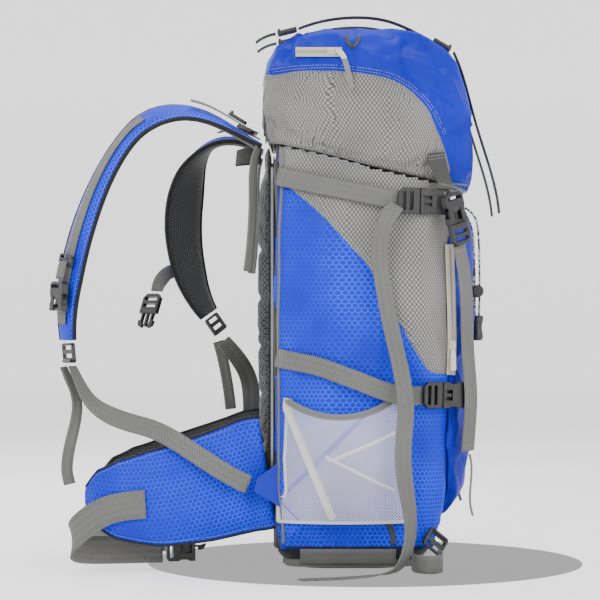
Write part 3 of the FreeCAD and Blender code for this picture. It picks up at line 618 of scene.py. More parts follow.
# %% Read a strap's sections
def islands_of(node):
    """The node's separate solids, merged, each as its own bmesh."""
    whole = bmesh.new()
    whole.from_mesh(NODES[node].data)
    bmesh.ops.remove_doubles(whole, verts=whole.verts, dist=2e-6)
    whole.verts.ensure_lookup_table()
    found, seen = [], set()
    for start in whole.verts:
        if start in seen:
            continue
        stack, island = [start], []
        seen.add(start)
        while stack:
            vert = stack.pop()
            island.append(vert)
            for edge in vert.link_edges:
                other = edge.other_vert(vert)
                if other not in seen:
                    seen.add(other)
                    stack.append(other)
        found.append(island)
    return whole, found


def sections_of(island, sharp):
    """The corner points of each section along one strap or pad."""
    turn = math.radians(sharp)

    def keen(vert):
        return [e for e in vert.link_edges if e.is_manifold and e.calc_face_angle() > turn]

    corners = {v for v in island if len(keen(v)) >= 3}
    start = max(corners, key=lambda v: (round(v.co.z, 4), v.co.x, v.co.y))
    cap, grow = {start}, [start]
    while grow:
        vert = grow.pop()
        for edge in keen(vert):
            other = edge.other_vert(vert)
            if other in corners and other not in cap:
                cap.add(other)
                grow.append(other)
    rails = []
    for vert in cap:
        rail, before, now = [vert.co.copy()], None, vert
        while True:
            onward = [e.other_vert(now) for e in keen(now)]
            onward = [v for v in onward if v is not before and v not in cap]
            if not onward:
                break
            before, now = now, onward[0]
            rail.append(now.co.copy())
            if now in corners:
                break
        rails.append(rail)
    size = min(len(r) for r in rails)
    if size < 2 or len({len(r) for r in rails}) > 1:
        print("uneven rails", sorted(len(r) for r in rails))
    return np.array([[tuple(r[i]) for r in rails] for i in range(size)])


def strap_path(sections):
    """Middle, width direction, width and thickness at each section."""
    middle = sections.mean(axis=1)
    sides, widths, thicks = [], [], []
    for points, centre in zip(sections, middle):
        axes = np.linalg.eigh(np.cov((points - centre).T))[1]
        side = axes[:, 2]
        if sides and side @ sides[-1] < 0:
            side = -side
        sides.append(side)
        widths.append(np.ptp((points - centre) @ side))
        thicks.append(np.ptp((points - centre) @ axes[:, 1]))
    return middle, np.array(sides), np.array(widths), np.array(thicks)


# %% Smooth curves
def distances(line):
    """How far along the line each of its points is."""
    return np.concatenate([[0], np.cumsum(np.linalg.norm(np.diff(line, axis=0), axis=1))])


def curve_at(want, at, points, slopes):
    """The smooth curve through the points, read at the wanted distances."""
    k = np.clip(np.searchsorted(at, want, side="right") - 1, 0, len(at) - 2)
    h = (at[k + 1] - at[k])[:, None]
    s = (want - at[k])[:, None] / h
    return ((1 + 2 * s) * (1 - s) ** 2 * points[k] + s * (1 - s) ** 2 * h * slopes[k]
            + s ** 2 * (3 - 2 * s) * points[k + 1] + s ** 2 * (s - 1) * h * slopes[k + 1])


# %% Resample a path
def resample(path, step):
    """The same path with even short steps, as a smooth curve through the sections."""
    middle, sides, widths, thicks = path
    at = distances(middle)
    want = np.linspace(0, at[-1], max(int(at[-1] / step), 2) + 1)
    if len(at) > 2:
        slopes = np.gradient(middle, at, axis=0)
    else:
        slopes = np.repeat((middle[1:] - middle[:-1]) / at[-1], 2, 0)
    line = curve_at(want, at, middle, slopes)
    along = unit(np.gradient(line, axis=0))
    side = np.array([np.interp(want, at, sides[:, i]) for i in range(3)]).T
    side = unit(side - along * (side * along).sum(1)[:, None])
    return {"at": want, "line": line, "along": along, "side": side, "up": np.cross(along, side),
            "width": np.interp(want, at, widths), "thick": np.interp(want, at, thicks)}


def tape_path(line, across, width, thick):
    """An even tape along a line, as wide across as its width."""
    n = len(line)
    sides = unit(np.cross(np.gradient(line, axis=0), across))
    return resample((line, sides, np.full(n, width), np.full(n, thick)), 0.003)


def read_straps(node, step=0.004, sharp=50):
    whole, found = islands_of(node)
    paths = [resample(strap_path(sections_of(island, sharp)), step) for island in found]
    whole.free()
    print(node, "straps", [round(float(p["at"][-1]), 3) for p in paths])
    return paths


# %% [markdown]
# A strap is swept from its path: a flat profile with rounded, slightly thicker edges, as woven selvages
# are. The map runs in metres along and across, so the weave has the same size on every strap.


# %% Sweep a profile along a path
def swept(paths, outline, skin_of=None):
    """Points, faces, map and material numbers. outline(share, width, thick) lists pairs (across, out)."""
    points, faces, uv, skins = [], [], [], []
    for path in paths:
        first, n = len(points), len(path["at"])
        shapes = [outline(i / (n - 1), path["width"][i], path["thick"][i]) for i in range(n)]
        for i, shape in enumerate(shapes):
            points.extend(path["line"][i] + path["side"][i] * a + path["up"][i] * b for a, b in shape)
        m = len(shapes[0])
        for i in range(n - 1):
            for j in range(m):
                low, high = first + i * m, first + (i + 1) * m
                k = (j + 1) % m
                faces.append((low + j, low + k, high + k, high + j))
                uv += [(path["at"][row], shapes[row][point][0])
                       for row, point in ((i, j), (i, k), (i + 1, k), (i + 1, j))]
                skins.append(skin_of(j) if skin_of else 0)
        for ring, way in ((first, -1), (first + (n - 1) * m, 1)):
            faces.append(tuple(ring + j for j in range(m))[::way])
            uv += list(shapes[0 if way < 0 else -1])[::way]
            skins.append(0)
    return points, faces, uv, skins


def flat_profile(share, width, thick):
    w, t = width / 2, thick / 2
    half = [(-w, 0.0), (-w + t * 0.5, -t), (-w * 0.55, -t * 0.82), (0.0, -t * 0.8), (w * 0.55, -t * 0.82),
            (w - t * 0.5, -t)]
    return half + [(-a, -b) for a, b in half]


def crowned_tape(share, width, thick):
    return [(math.cos(a) * width / 2, math.sin(a) * thick / 2)
            for a in np.linspace(0, 2 * math.pi, 10, endpoint=False)]


def faces_out(piece):
    build = bmesh.new()
    build.from_mesh(piece.data)
    bmesh.ops.recalc_face_normals(build, faces=build.faces)
    build.to_mesh(piece.data)
    build.free()


def strip(name, paths, material, outline=flat_profile):
    points, faces, uv, _ = swept(paths, outline)
    piece = make_mesh(name, points, faces, [material], uv)
    faces_out(piece)
    return piece


def finish_piece(piece, body, replaced):
    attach(piece, body)
    if replaced:
        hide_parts(*replaced)
    return piece


def strap_piece(name, node, material, paths):
    """A strap in place of its CAD node."""
    return finish_piece(strip(name, paths, material), BODY_OF[node], [node])


def trim(name, paths, material, body, outline=flat_profile):
    """A strip that the CAD doesn't have."""
    return finish_piece(strip(name, paths, material, outline), body, [])


# %% Webbing pieces
STRAPS = {
    "compression_straps": ("compression_webbing", grey_webbing),
    "lid_holding_straps": ("lid_anchor_straps", grey_webbing),
    "strap_ends": ("webbing_ends", grey_webbing),
    "lid_webbing": ("lid_straps", dark_webbing),
    "haul_webbing": ("haul_loop", dark_webbing),
    "tool_loop_webbing": ("tool_loops", grey_webbing),
    "base_strap_webbing": ("base_straps", grey_webbing),
}
for name, node in (("chest_strap_", "chest_webbing_"), ("waist_strap_", "waist_webbing_"),
                   ("shoulder_straps_", "shoulder_webbing_")):
    for _, label in SIDES:
        STRAPS[name + label] = (node + label, grey_webbing)
strap_paths = {}
for name, (node, material) in STRAPS.items():
    strap_paths[node] = read_straps(node)
    strap_piece(name, node, material, strap_paths[node])

# %% [markdown]
# The lower shoulder webbing joins a swinging shoulder strap to a tab on the bag. It is swept like the other
# straps and attached to no body.

# %% Lower webbing
for label in ("left", "right"):
    node = "lower_webbing_" + label
    paths = read_straps(node)
    piece = strip("lower_strap_" + label, paths, grey_webbing)
    high, low = sorted((paths[0]["line"][0], paths[0]["line"][-1]), key=lambda p: -p[2])
    tuple(high)
    tuple(low)
    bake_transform(piece)
    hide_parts(node)

# %% [markdown]
# Stuffed pieces start from the CAD surface, because that is the space they may fill. A search tree over
# the CAD faces answers two questions: where a ray meets the piece, and how far the nearest neighbour is.


# %% Measure from CAD surfaces
def tree_from(*objects):
    points, faces = [], []
    for one in objects:
        mesh, first = one.data, len(points)
        points += [v.co.copy() for v in mesh.vertices]
        faces += [[first + i for i in f.vertices] for f in mesh.polygons]
    return BVHTree.FromPolygons(points, faces)


def tree_of(*nodes):
    return tree_from(*[NODES[node] for node in nodes])


def room_for(co, tree, margin):
    """How far each point may move before it comes within the margin of what is in the tree."""
    return np.array([tree.find_nearest(Vector(p))[3] for p in co]) - margin


def smooth_line(points, n=60):
    """A smooth curve through a few points of the plane, as many short segments."""
    points = np.array(points, float)
    at = distances(points)
    return curve_at(np.linspace(0, at[-1], n), at, points, np.gradient(points, at, axis=0))


def seam_distance(co, curve, closing):
    """Distance of each point from a seam drawn on the side view, positive on the side that closing encloses."""
    flat = co[:, [0, 2]]
    best = np.full(len(flat), 1e9)
    for a, b in zip(curve, curve[1:]):
        ab = b - a
        share = np.clip(((flat - a) @ ab) / (ab @ ab), 0, 1)
        best = np.minimum(best, np.linalg.norm(flat - (a + share[:, None] * ab), axis=1))
    outline = np.vstack([curve, closing])
    inside = np.zeros(len(flat), bool)
    for (x0, z0), (x1, z1) in zip(outline, np.roll(outline, -1, axis=0)):
        crosses = (z0 > flat[:, 1]) != (z1 > flat[:, 1])
        with np.errstate(divide="ignore", invalid="ignore"):
            inside ^= crosses & (flat[:, 0] < (x1 - x0) * (flat[:, 1] - z0) / (z1 - z0) + x0)
    return np.where(inside, best, -best)


# %% Shape
def ripples(co, size, seed):
    """Smooth noise from -1 to 1 at each point. size gives the folds' length along X, Y and Z."""
    shift = Vector((seed * 3.7, seed * 1.3, seed * 2.1))
    return np.array([noise.noise(Vector((p[0] / size[0], p[1] / size[1], p[2] / size[2])) + shift) for p in co])


def ridges(co, size, seed):
    """Sharp-backed folds, as taut cloth has: 1 on a fold's back, 0 between folds."""
    return np.clip(1 - np.abs(ripples(co, size, seed)) * 3.2, 0, 1) ** 2


def edges_of(piece):
    ends = np.empty(len(piece.data.edges) * 2, np.int64)
    piece.data.edges.foreach_get("vertices", ends)
    return ends.reshape(-1, 2)


def relaxed(values, ends, times):
    """Averages points or numbers with their neighbours."""
    values = values.copy()
    count = np.bincount(ends.ravel(), minlength=len(values)).astype(float)
    count = np.maximum(count, 1)[:, None] if values.ndim > 1 else np.maximum(count, 1)
    for _ in range(times):
        total = np.zeros_like(values)
        np.add.at(total, ends[:, 0], values[ends[:, 1]])
        np.add.at(total, ends[:, 1], values[ends[:, 0]])
        values += 0.5 * (total / count - values)
    return values


def set_attribute(piece, label, values):
    layer = piece.data.attributes.new(label, "FLOAT", "POINT")
    layer.data.foreach_set("value", np.asarray(values, np.float32))


# %% [markdown]
# The stuffed pieces swell for real: the cloth solver blows the remeshed skin up from inside with gravity
# off, holding the sewn lines and the hidden faces in place, and lets the cloth be a little larger than
# the space, so that it folds near its seams. How far a point may move is capped.


# %% Remesh and swell
SWELL_FRAMES, MARGIN, PRESS = 20, 0.0015, 0.002


def remeshed(name, node, voxel, smooth=8):
    """A voxel remesh of a CAD solid, with its facets smoothed away."""
    build = bmesh.new()
    build.from_mesh(NODES[node].data)
    bmesh.ops.remove_doubles(build, verts=build.verts, dist=2e-6)
    mesh = bpy.data.meshes.new(name)
    build.to_mesh(mesh)
    build.free()
    piece = new_object(name, mesh)
    remesh = piece.modifiers.new("even quads", "REMESH")
    remesh.mode, remesh.voxel_size, remesh.use_smooth_shade = "VOXEL", voxel, True
    even = bpy.data.meshes.new_from_object(piece.evaluated_get(bpy.context.evaluated_depsgraph_get()))
    piece.modifiers.clear()
    piece.data = even
    even.materials.clear()
    set_points(piece, relaxed(points_of(piece), edges_of(piece), smooth))
    even.shade_smooth()
    print(name, "remeshed to", len(even.vertices), "points")
    return piece


def swell(piece, held, pressure, growth, cap):
    """Cloth pressure. held is 1 where a point is sewn down and 0 where it is free."""
    scene = bpy.context.scene
    rest = points_of(piece)
    group = piece.vertex_groups.new(name="sewn down")
    for weight in (1.0, 0.5):
        chosen = np.flatnonzero(np.isclose(np.round(held * 2) / 2, weight))
        group.add(chosen.tolist(), weight, "REPLACE")
    cloth = piece.modifiers.new("cloth", "CLOTH")
    made = cloth.settings
    made.quality, made.mass, made.air_damping = 5, 0.25, 2.0
    made.tension_stiffness = made.compression_stiffness = 12
    made.shear_stiffness, made.bending_stiffness = 6, 0.35
    made.use_pressure, made.uniform_pressure_force = True, pressure
    made.vertex_group_mass, made.pin_stiffness = group.name, 1.0
    made.shrink_min = -growth
    made.effector_weights.gravity = 0
    cloth.collision_settings.use_self_collision = False
    for number in range(1, SWELL_FRAMES + 1):
        scene.frame_set(number)
    blown = piece.evaluated_get(bpy.context.evaluated_depsgraph_get())
    moved = points_of(blown) - rest
    length = np.linalg.norm(moved, axis=1)
    length[length == 0] = 1
    limit = np.minimum(length, cap) / length
    piece.modifiers.clear()
    piece.vertex_groups.clear()
    scene.frame_set(1)
    set_points(piece, rest + moved * limit[:, None])
    print(piece.name, "swelled by up to", round(float((length * limit).max()) * 1000, 1), "mm")


def keep_clear(piece, base, tree):
    """Points near a neighbour come back towards where they started, and a little further in."""
    co, normal = points_of(piece), normals_of(piece)
    out = ((co - base) * normal).sum(1)
    room = room_for(base, tree, MARGIN)
    over = relaxed(np.maximum(out - np.maximum(room, -PRESS), 0), edges_of(piece), 2)
    set_points(piece, co - normal * over[:, None])


# %% [markdown]
# The bag is one shell. Rays from outside, level with each row of points, find the CAD wall, and give an
# even grid that goes round the pack and up to the sloping mouth. The side seam between the blue and the
# grey cloth is drawn in, and the cloth pulls in along it.

# %% Seam lines on the sides
BAG_SEAM = smooth_line([(-0.1175, 0.5214), (-0.070, 0.483), (-0.0277, 0.438), (0.0079, 0.395), (0.0185, 0.360),
                        (0.041, 0.333), (0.066, 0.289), (0.083, 0.267), (0.125, 0.265)])
LID_SEAM = smooth_line([(-0.20, 0.663), (-0.14, 0.664), (-0.024, 0.6665), (0.042, 0.651), (0.0686, 0.631),
                        (0.095, 0.591), (0.111, 0.545), (0.113, 0.48)])


# %% Rays round the pack
BAG_RING = (0.118, 0.15, 0.034)
MOUTH_SLOPE, MOUTH_REAR = 0.235, -0.124


def mouth_height(x, top):
    """Height on the plane of the mouth, which slopes down towards the front. top is its height at the rear."""
    return top - (x - MOUTH_REAR) * MOUTH_SLOPE


def ray_in(x, y, z):
    """A ray from well outside the pack, level, towards its middle."""
    way = Vector((x, y, 0)).normalized()
    return way * 0.5 + Vector((-0.006, 0, z)), -way


def around(half_x, half_y, radius, n):
    """Even points round a rounded rectangle, from the middle of the wearer's left side."""
    line = []
    for i, (sx, sy) in enumerate(((1, -1), (1, 1), (-1, 1), (-1, -1))):
        for a in np.linspace(0, math.pi / 2, 12) + (i - 1) * math.pi / 2:
            line.append((sx * (half_x - radius) + math.cos(a) * radius,
                         sy * (half_y - radius) + math.sin(a) * radius))
    line = np.array(line + line[:1])
    at = distances(line)
    want = np.linspace(0, at[-1], n, endpoint=False)
    return np.array([np.interp(want, at, line[:, i]) for i in (0, 1)]).T


def wrapped(tree, ring, rows, low, top_at):
    """Grid of points on the outside of a CAD wall. top_at(x) is the height of its last row there."""
    grid = np.zeros((rows, len(ring), 3))
    for j, (x, y) in enumerate(ring):
        seen = -0.12
        for _ in range(3):
            hit = tree.ray_cast(*ray_in(x, y, top_at(seen) - 0.001))[0]
            seen = hit.x if hit else seen
        for i in range(rows):
            z = low + (top_at(seen) - 0.0006 - low) * i / (rows - 1)
            hit = tree.ray_cast(*ray_in(x, y, z))[0]
            grid[i, j] = hit if hit else grid[i - 1, j]
    return grid


def shell_from(name, grid, wall, materials):
    """A cup with two walls, a rim and a closed bottom. The inner wall takes the second material."""
    rows, n = grid.shape[:2]
    outer = grid.reshape(-1, 3)
    faces = [(i * n + j, i * n + (j + 1) % n, (i + 1) * n + (j + 1) % n, (i + 1) * n + j)
             for i in range(rows - 1) for j in range(n)]
    piece = make_mesh(name, outer, faces, materials)
    inner = outer - normals_of(piece) * wall
    size = len(outer)
    faces += [tuple(size + v for v in reversed(f)) for f in faces]
    top, top_in = (rows - 1) * n, size + (rows - 1) * n
    faces += [(top + j, top + (j + 1) % n, top_in + (j + 1) % n, top_in + j) for j in range(n)]
    faces += [tuple(reversed(range(n))), tuple(range(size, size + n))]
    bpy.data.objects.remove(piece)
    piece = make_mesh(name, np.vstack([outer, inner]), faces, materials)
    quads = (rows - 1) * n
    for face in piece.data.polygons[quads:2 * quads]:
        face.material_index = 1
    piece.data.polygons[-1].material_index = 1
    return piece


def round_normals(grid):
    """Outward directions of a grid that closes on itself round the pack."""
    across = np.roll(grid, -1, axis=1) - np.roll(grid, 1, axis=1)
    up = np.gradient(grid, axis=0)
    n = np.cross(across, up)
    return n / np.maximum(np.linalg.norm(n, axis=2), 1e-9)[:, :, None]


# %% Bag shell
def bag_top(x):
    return mouth_height(x, 0.570)


bag_tree = tree_of("main_bag")
bag_grid = wrapped(bag_tree, around(*BAG_RING, 300), 150, 0.0302, bag_top)
bag_grid += round_normals(bag_grid) * -0.0004
flat_points = bag_grid.reshape(-1, 3)
out = round_normals(bag_grid).reshape(-1, 3)
seam_at = seam_distance(flat_points, BAG_SEAM, [(0.4, 0.265), (0.4, 0.9), (-0.1175, 0.9)])
side_face = np.clip(np.abs(out[:, 1]) * 1.6 - 0.3, 0, 1)
push = 0.0022 * ripples(flat_points, (0.11, 0.11, 0.16), 1) + 0.0026 * ridges(flat_points, (0.05, 0.05, 0.24), 2)
push += 0.0018 * ripples(flat_points, (0.028, 0.028, 0.055), 3) - 0.0006
low_band = np.clip((0.082 - flat_points[:, 2]) / 0.03, 0, 1)
push += low_band * (0.0034 * ridges(flat_points, (0.021, 0.021, 0.12), 4) - 0.001)
push -= 0.0022 * np.exp(-(seam_at / 0.0035) ** 2) * side_face
push *= np.clip((bag_top(flat_points[:, 0]) - flat_points[:, 2]) / 0.03, 0, 1)
neighbours = tree_of("compression_webbing", "compression_sockets", "upper_plug_left", "upper_plug_right",
                     "lower_plug_left", "lower_plug_right", "lid_anchor_straps", "webbing_ends", "mesh_pockets",
                     "front_zip_tape", "anchor_tabs", "base_straps", "base_locks", "frame_sheet", "lid_shell")
room = room_for(flat_points, neighbours, 0.0012)
push = np.minimum(push, np.maximum(room, -0.0022))
bag_grid = (flat_points + out * push[:, None]).reshape(bag_grid.shape)
bag = shell_from("bag", bag_grid, 0.0016, [bag_cloth, lining, base_cloth])
set_attribute(bag, "grey", np.concatenate([seam_at, seam_at]))
for face in bag.data.polygons:
    if face.material_index == 0 and face.normal.x < -0.8:
        face.material_index = 2
finish_piece(bag, "pack", ["main_bag"])
print("bag faces", len(bag.data.polygons))

# %% [markdown]
# The collar is thin coated cloth, gathered by the cord in its hem. Its folds run up to the mouth.

# %% Collar
COLLAR_RING, COLLAR_TOP = (0.104, 0.128, 0.034), 0.568
collar_grid = wrapped(tree_of("extension_collar"), around(*COLLAR_RING, 260), 44, 0.4905, lambda x: COLLAR_TOP)
collar_points, collar_out = collar_grid.reshape(-1, 3), round_normals(collar_grid).reshape(-1, 3)
gather = np.clip((collar_points[:, 2] - 0.492) / 0.05, 0, 1)
angle = np.arctan2(collar_points[:, 1], collar_points[:, 0])
pleats = np.abs(np.sin(angle * 26 + 2.0 * ripples(collar_points, (0.05, 0.05, 0.2), 5)))
collar_points = collar_points - collar_out * (gather * pleats * 0.0045 + 0.0004)[:, None]
collar = shell_from("collar", collar_points.reshape(collar_grid.shape), 0.0009, [lining, lining])
build = bmesh.new()
build.from_mesh(collar.data)
bmesh.ops.delete(build, geom=[f for f in build.faces if len(f.verts) > 4], context="FACES_ONLY")
build.to_mesh(collar.data)
build.free()
finish_piece(collar, "pack", ["extension_collar"])

# %% [markdown]
# The lid is a stuffed pocket: grey diamond cloth low on the sides and the rear, blue cloth above and in
# front. The seam between them, the lower edge and the faces of the recess are held while it swells.

# %% Lid
lid = remeshed("lid", "lid_shell", 0.0045, 10)
co, normal = points_of(lid), normals_of(lid)
lid_seam_at = seam_distance(co, LID_SEAM, [(0.113, 0.4), (-0.20, 0.4)])
edge_height = co[:, 2] - mouth_height(co[:, 0], 0.574)
inward = (normal[:, :2] * -co[:, :2]).sum(1) > 0.02
recess = (inward & (co[:, 2] < 0.622)) | (edge_height < 0.004) | ((normal[:, 2] < -0.5) & (co[:, 2] < 0.63))
co[:, 2] += np.where(edge_height < 0.0035, -0.0022 - edge_height, 0.0)
set_points(lid, co - normal * 0.0022 * (~recess)[:, None])
start = points_of(lid)
on_side = np.abs(normal[:, 1]) > 0.35
swell(lid, (recess | ((np.abs(lid_seam_at) < 0.004) & on_side)).astype(float), 4.0, 0.05, 0.008)
co, normal = points_of(lid), normals_of(lid)
leaning = co @ np.array([[1.0, 0.0, 0.45], [0.0, 1.0, 0.0], [-0.55, 0.0, 1.0]])
push = 0.0018 * ripples(co, (0.05, 0.05, 0.04), 7)
push += 0.0034 * ridges(leaning, (0.11, 0.06, 0.034), 8) * (co[:, 2] > 0.6)
push += 0.0030 * ridges(leaning, (0.034, 0.034, 0.06), 9) * np.clip((0.05 - edge_height) / 0.03, 0, 1) - 0.0008
push -= 0.0026 * np.exp(-(lid_seam_at / 0.004) ** 2) * on_side
set_points(lid, co + normal * (push * ~recess)[:, None])
keep_clear(lid, start, tree_of("lid_straps", "lid_ladder_locks", "lid_zip_tape", "lid_zip_pull", "lid_sockets",
                               "lid_plug_left", "lid_plug_right", "lid_anchor_straps", "compression_sockets",
                               "upper_plug_left", "upper_plug_right", "compression_webbing", "extension_collar"))
lid.data.materials.append(lid_cloth)
lid.data.materials.append(lining)
for face in lid.data.polygons:
    face.material_index = int(all(recess[v] and (inward[v] or normal[v][2] < -0.5) for v in face.vertices))
flat_top = np.abs(normals_of(lid)[:, 2]) > 0.93
set_attribute(lid, "grey", np.where(flat_top, np.minimum(lid_seam_at, -0.001), lid_seam_at))
finish_piece(lid, "lid", ["lid_shell"])

# %% [markdown]
# The front pocket is stuffed like the lid. Its rear face lies on the bag and is held there.

# %% Front pocket
pocket = remeshed("front_pocket_skin", "front_pocket", 0.0045, 10)
co, normal = points_of(pocket), normals_of(pocket)
bag_side = np.array([bag_tree.find_nearest(Vector(p))[3] for p in co]) < 0.006
set_points(pocket, co - normal * 0.0018 * (~bag_side)[:, None])
start = points_of(pocket)
swell(pocket, bag_side.astype(float), 4.0, 0.04, 0.006)
co, normal = points_of(pocket), normals_of(pocket)
push = 0.0032 * ridges(co, (0.05, 0.08, 0.05), 11) + 0.0022 * ripples(co, (0.04, 0.05, 0.07), 12) - 0.0006
set_points(pocket, co + normal * (push * ~bag_side)[:, None])
keep_clear(pocket, start, tree_of("lid_anchor_straps", "webbing_ends", "front_zip_tape", "front_zip_pull",
                                  "keeper_ends", "keeper_lock_left", "keeper_lock_right", "compression_sockets",
                                  "lid_shell", "lid_sockets", "base_locks", "base_panel"))
pocket.data.materials.append(lid_cloth)
set_attribute(pocket, "grey", np.full(len(co), -0.01))
finish_piece(pocket, "pack", ["front_pocket"])

# %% [markdown]
# The base is one stiff panel under cloth, with small folds round its side.

# %% Base panel
base = remeshed("base_skin", "base_panel", 0.005, 4)
co, normal = points_of(base), normals_of(base)
round_side = (co[:, 2] > 0.004) & (co[:, 2] < 0.028)
push = np.where(round_side, 0.0012 * ridges(co, (0.03, 0.03, 0.08), 13) - 0.0012, -0.0004)
set_points(base, np.maximum(co + normal * push[:, None], [-9, -9, 0.0]))
base.data.materials.append(base_cloth)
finish_piece(base, "pack", ["base_panel"])

# %% [markdown]
# Foam pads are swept like the straps, with a crowned section: thickest in the middle and thin where the
# cloth is sewn together at the edge. The outer face is honeycomb cloth and the face on the body is
# spacer mesh, with a folded tape over the edge between them.


# %% Foam pad
PAD_POINTS = 28


def crowned(share, width, thick):
    """Section of a stuffed pad, flatter on top and pinched at both edges."""
    w, t = width / 2 - 0.0012, thick / 2
    shape = []
    for i in range(PAD_POINTS):
        a = -math.pi + 2 * math.pi * i / PAD_POINTS
        c, s = math.cos(a), math.sin(a)
        across = math.copysign(abs(c) ** 0.72, c)
        height = math.copysign(abs(s) ** 0.8, s) * (0.22 + 0.78 * (1 - abs(across) ** 5))
        shape.append((across * w, height * t * 0.97))
    return shape


def face_out(paths, outward):
    """Turns each path so that its upper face looks outwards."""
    for path in paths:
        if path["up"][len(path["at"]) // 2] @ np.array(outward) < 0:
            path["side"], path["up"] = -path["side"], -path["up"]
    return paths


def foam_pad(name, node, outward):
    paths = face_out(read_straps(node, 0.005, 28), outward)
    points, faces, uv, skins = swept(paths, crowned, lambda j: int(j < PAD_POINTS // 2))
    piece = make_mesh(name, points, faces, [pad_cloth, spacer_mesh], uv)
    for face, number in zip(piece.data.polygons, skins):
        face.material_index = number
    faces_out(piece)
    finish_piece(piece, BODY_OF[node], [node])
    return paths


def edge_path(path, sign):
    """The path of the binding tape along one edge of a pad."""
    line = path["line"] + path["side"] * (sign * (path["width"] / 2 - 0.0012))[:, None]
    return {"at": path["at"], "line": line, "side": path["up"], "up": path["side"],
            "width": np.full(len(line), 0.0062), "thick": np.full(len(line), 0.0034)}


def bound(name, pads, body):
    """Binding tape on both edges of some pads."""
    trim(name, [edge_path(path, sign) for path in pads for sign in (-1, 1)], black_tape, body, crowned_tape)


# %% Shoulder pads and wings
pad_paths = {}
for side, label in SIDES:
    for pad, node, body, outward in (("shoulder_", "shoulder_pad_", "shoulder_", (-1, 0, 0.6)),
                                     ("wing_", "hip_wing_", "belt_", (0, side, 0))):
        pad_paths[pad + label] = foam_pad(pad + "foam_" + label, node + label, outward)
        bound(pad + "binding_" + label, pad_paths[pad + label], body + label)

# %% [markdown]
# The back pads are blocks of foam under spacer mesh, with sewn channels across them where they bend.

# %% Back pads
back = remeshed("back_panel_pads", "back_pads", 0.0042, 5)
co, normal = points_of(back), normals_of(back)
sewn = co[:, 0] > co[:, 0].max() - 0.003
set_points(back, co - normal * 0.0014 * (~sewn)[:, None])
start = points_of(back)
swell(back, sewn.astype(float), 3.0, 0.02, 0.003)
co, normal = points_of(back), normals_of(back)
channels = sum(np.exp(-((co[:, 2] - z) / 0.0045) ** 2) for z in (0.235, 0.3, 0.365, 0.43))
middle_channel = np.exp(-(co[:, 1] / 0.006) ** 2) * (co[:, 2] < 0.168)
set_points(back, co - normal * (0.0042 * (channels + middle_channel) * (normal[:, 0] < -0.3))[:, None])
keep_clear(back, start, tree_of("shoulder_pad_left", "shoulder_pad_right", "haul_loop", "hip_wing_left",
                                "hip_wing_right", "shoulder_webbing_left", "shoulder_webbing_right"))
back.data.materials.append(back_mesh)
finish_piece(back, "pack", ["back_pads"])

# %% [markdown]
# Moulded, metal and small parts keep their CAD shape, so they only need their finish.

# %% Hardware finishes
FINISHES = {
    black_nylon: ["compression_sockets", "lid_sockets", "lid_ladder_locks", "base_locks", "keeper_ends",
                  "chest_socket", "chest_plug", "waist_socket", "waist_plug", "upper_plug_left", "upper_plug_right",
                  "lower_plug_left", "lower_plug_right", "lid_plug_left", "lid_plug_right", "shoulder_locks_left",
                  "shoulder_locks_right", "chest_slider_left", "chest_slider_right", "keeper_lock_left",
                  "keeper_lock_right", "keeper_button_left", "keeper_button_right"],
    frame_nylon: ["frame_sheet"],
    stay_metal: ["frame_stays"],
    cream_metal: ["lid_zip_slider", "front_zip_slider", "front_zip_pull"],
    pull_finish: ["lid_zip_pull"],
    blue_cloth: ["anchor_tabs"],
}
for finish, chosen_nodes in FINISHES.items():
    for node in chosen_nodes:
        for piece_slot in NODES[node].material_slots:
            piece_slot.material = finish

# %% [markdown]
# What repeats is grown by geometry nodes: net strands, zip teeth and stitches. Each tree takes bare lines,
# and its sizes are named inputs. The result is kept as a plain mesh, and the modifier goes.


# %% Geometry node helpers
def new_tree(name, inputs):
    tree = bpy.data.node_groups.new(name, "GeometryNodeTree")
    tree.interface.new_socket("Lines", in_out="INPUT", socket_type="NodeSocketGeometry")
    for label, kind in inputs:
        tree.interface.new_socket(label, in_out="INPUT", socket_type="NodeSocket" + kind)
    tree.interface.new_socket("Material", in_out="INPUT", socket_type="NodeSocketMaterial")
    tree.interface.new_socket("Grown", in_out="OUTPUT", socket_type="NodeSocketGeometry")
    return tree, tree.nodes.new("NodeGroupInput")


def close_tree(tree, source, geometry):
    """Every tree ends in Realize Instances and Set Material."""
    real = tree.nodes.new("GeometryNodeRealizeInstances")
    tree.links.new(geometry, real.inputs[0])
    skin = tree.nodes.new("GeometryNodeSetMaterial")
    tree.links.new(real.outputs[0], skin.inputs["Geometry"])
    tree.links.new(source.outputs["Material"], skin.inputs["Material"])
    tree.links.new(skin.outputs[0], tree.nodes.new("NodeGroupOutput").inputs[0])


def grown(name, tree, lines, material, body, slot_name, **sizes):
    """Runs a tree on lines of points and keeps the plain mesh that it makes."""
    points, edges = [], []
    for line in lines:
        first = len(points)
        points += [tuple(p) for p in line]
        edges += [(first + i, first + i + 1) for i in range(len(line) - 1)]
    mesh = bpy.data.meshes.new(name)
    mesh.from_pydata(points, edges, [])
    piece = new_object(name, mesh)
    modifier = piece.modifiers.new(tree.name, "NODES")
    modifier.node_group = tree
    for item in tree.interface.items_tree:
        if item.in_out == "INPUT" and item.name in sizes:
            modifier[item.identifier] = sizes[item.name]
        elif item.in_out == "INPUT" and item.name == "Material":
            modifier[item.identifier] = material
    plain = bpy.data.meshes.new_from_object(piece.evaluated_get(bpy.context.evaluated_depsgraph_get()))
    piece.modifiers.clear()
    piece.data = plain
    print(name, "from", len(lines), "lines:", len(plain.polygons), "faces")
    return finish_piece(piece, body, [])


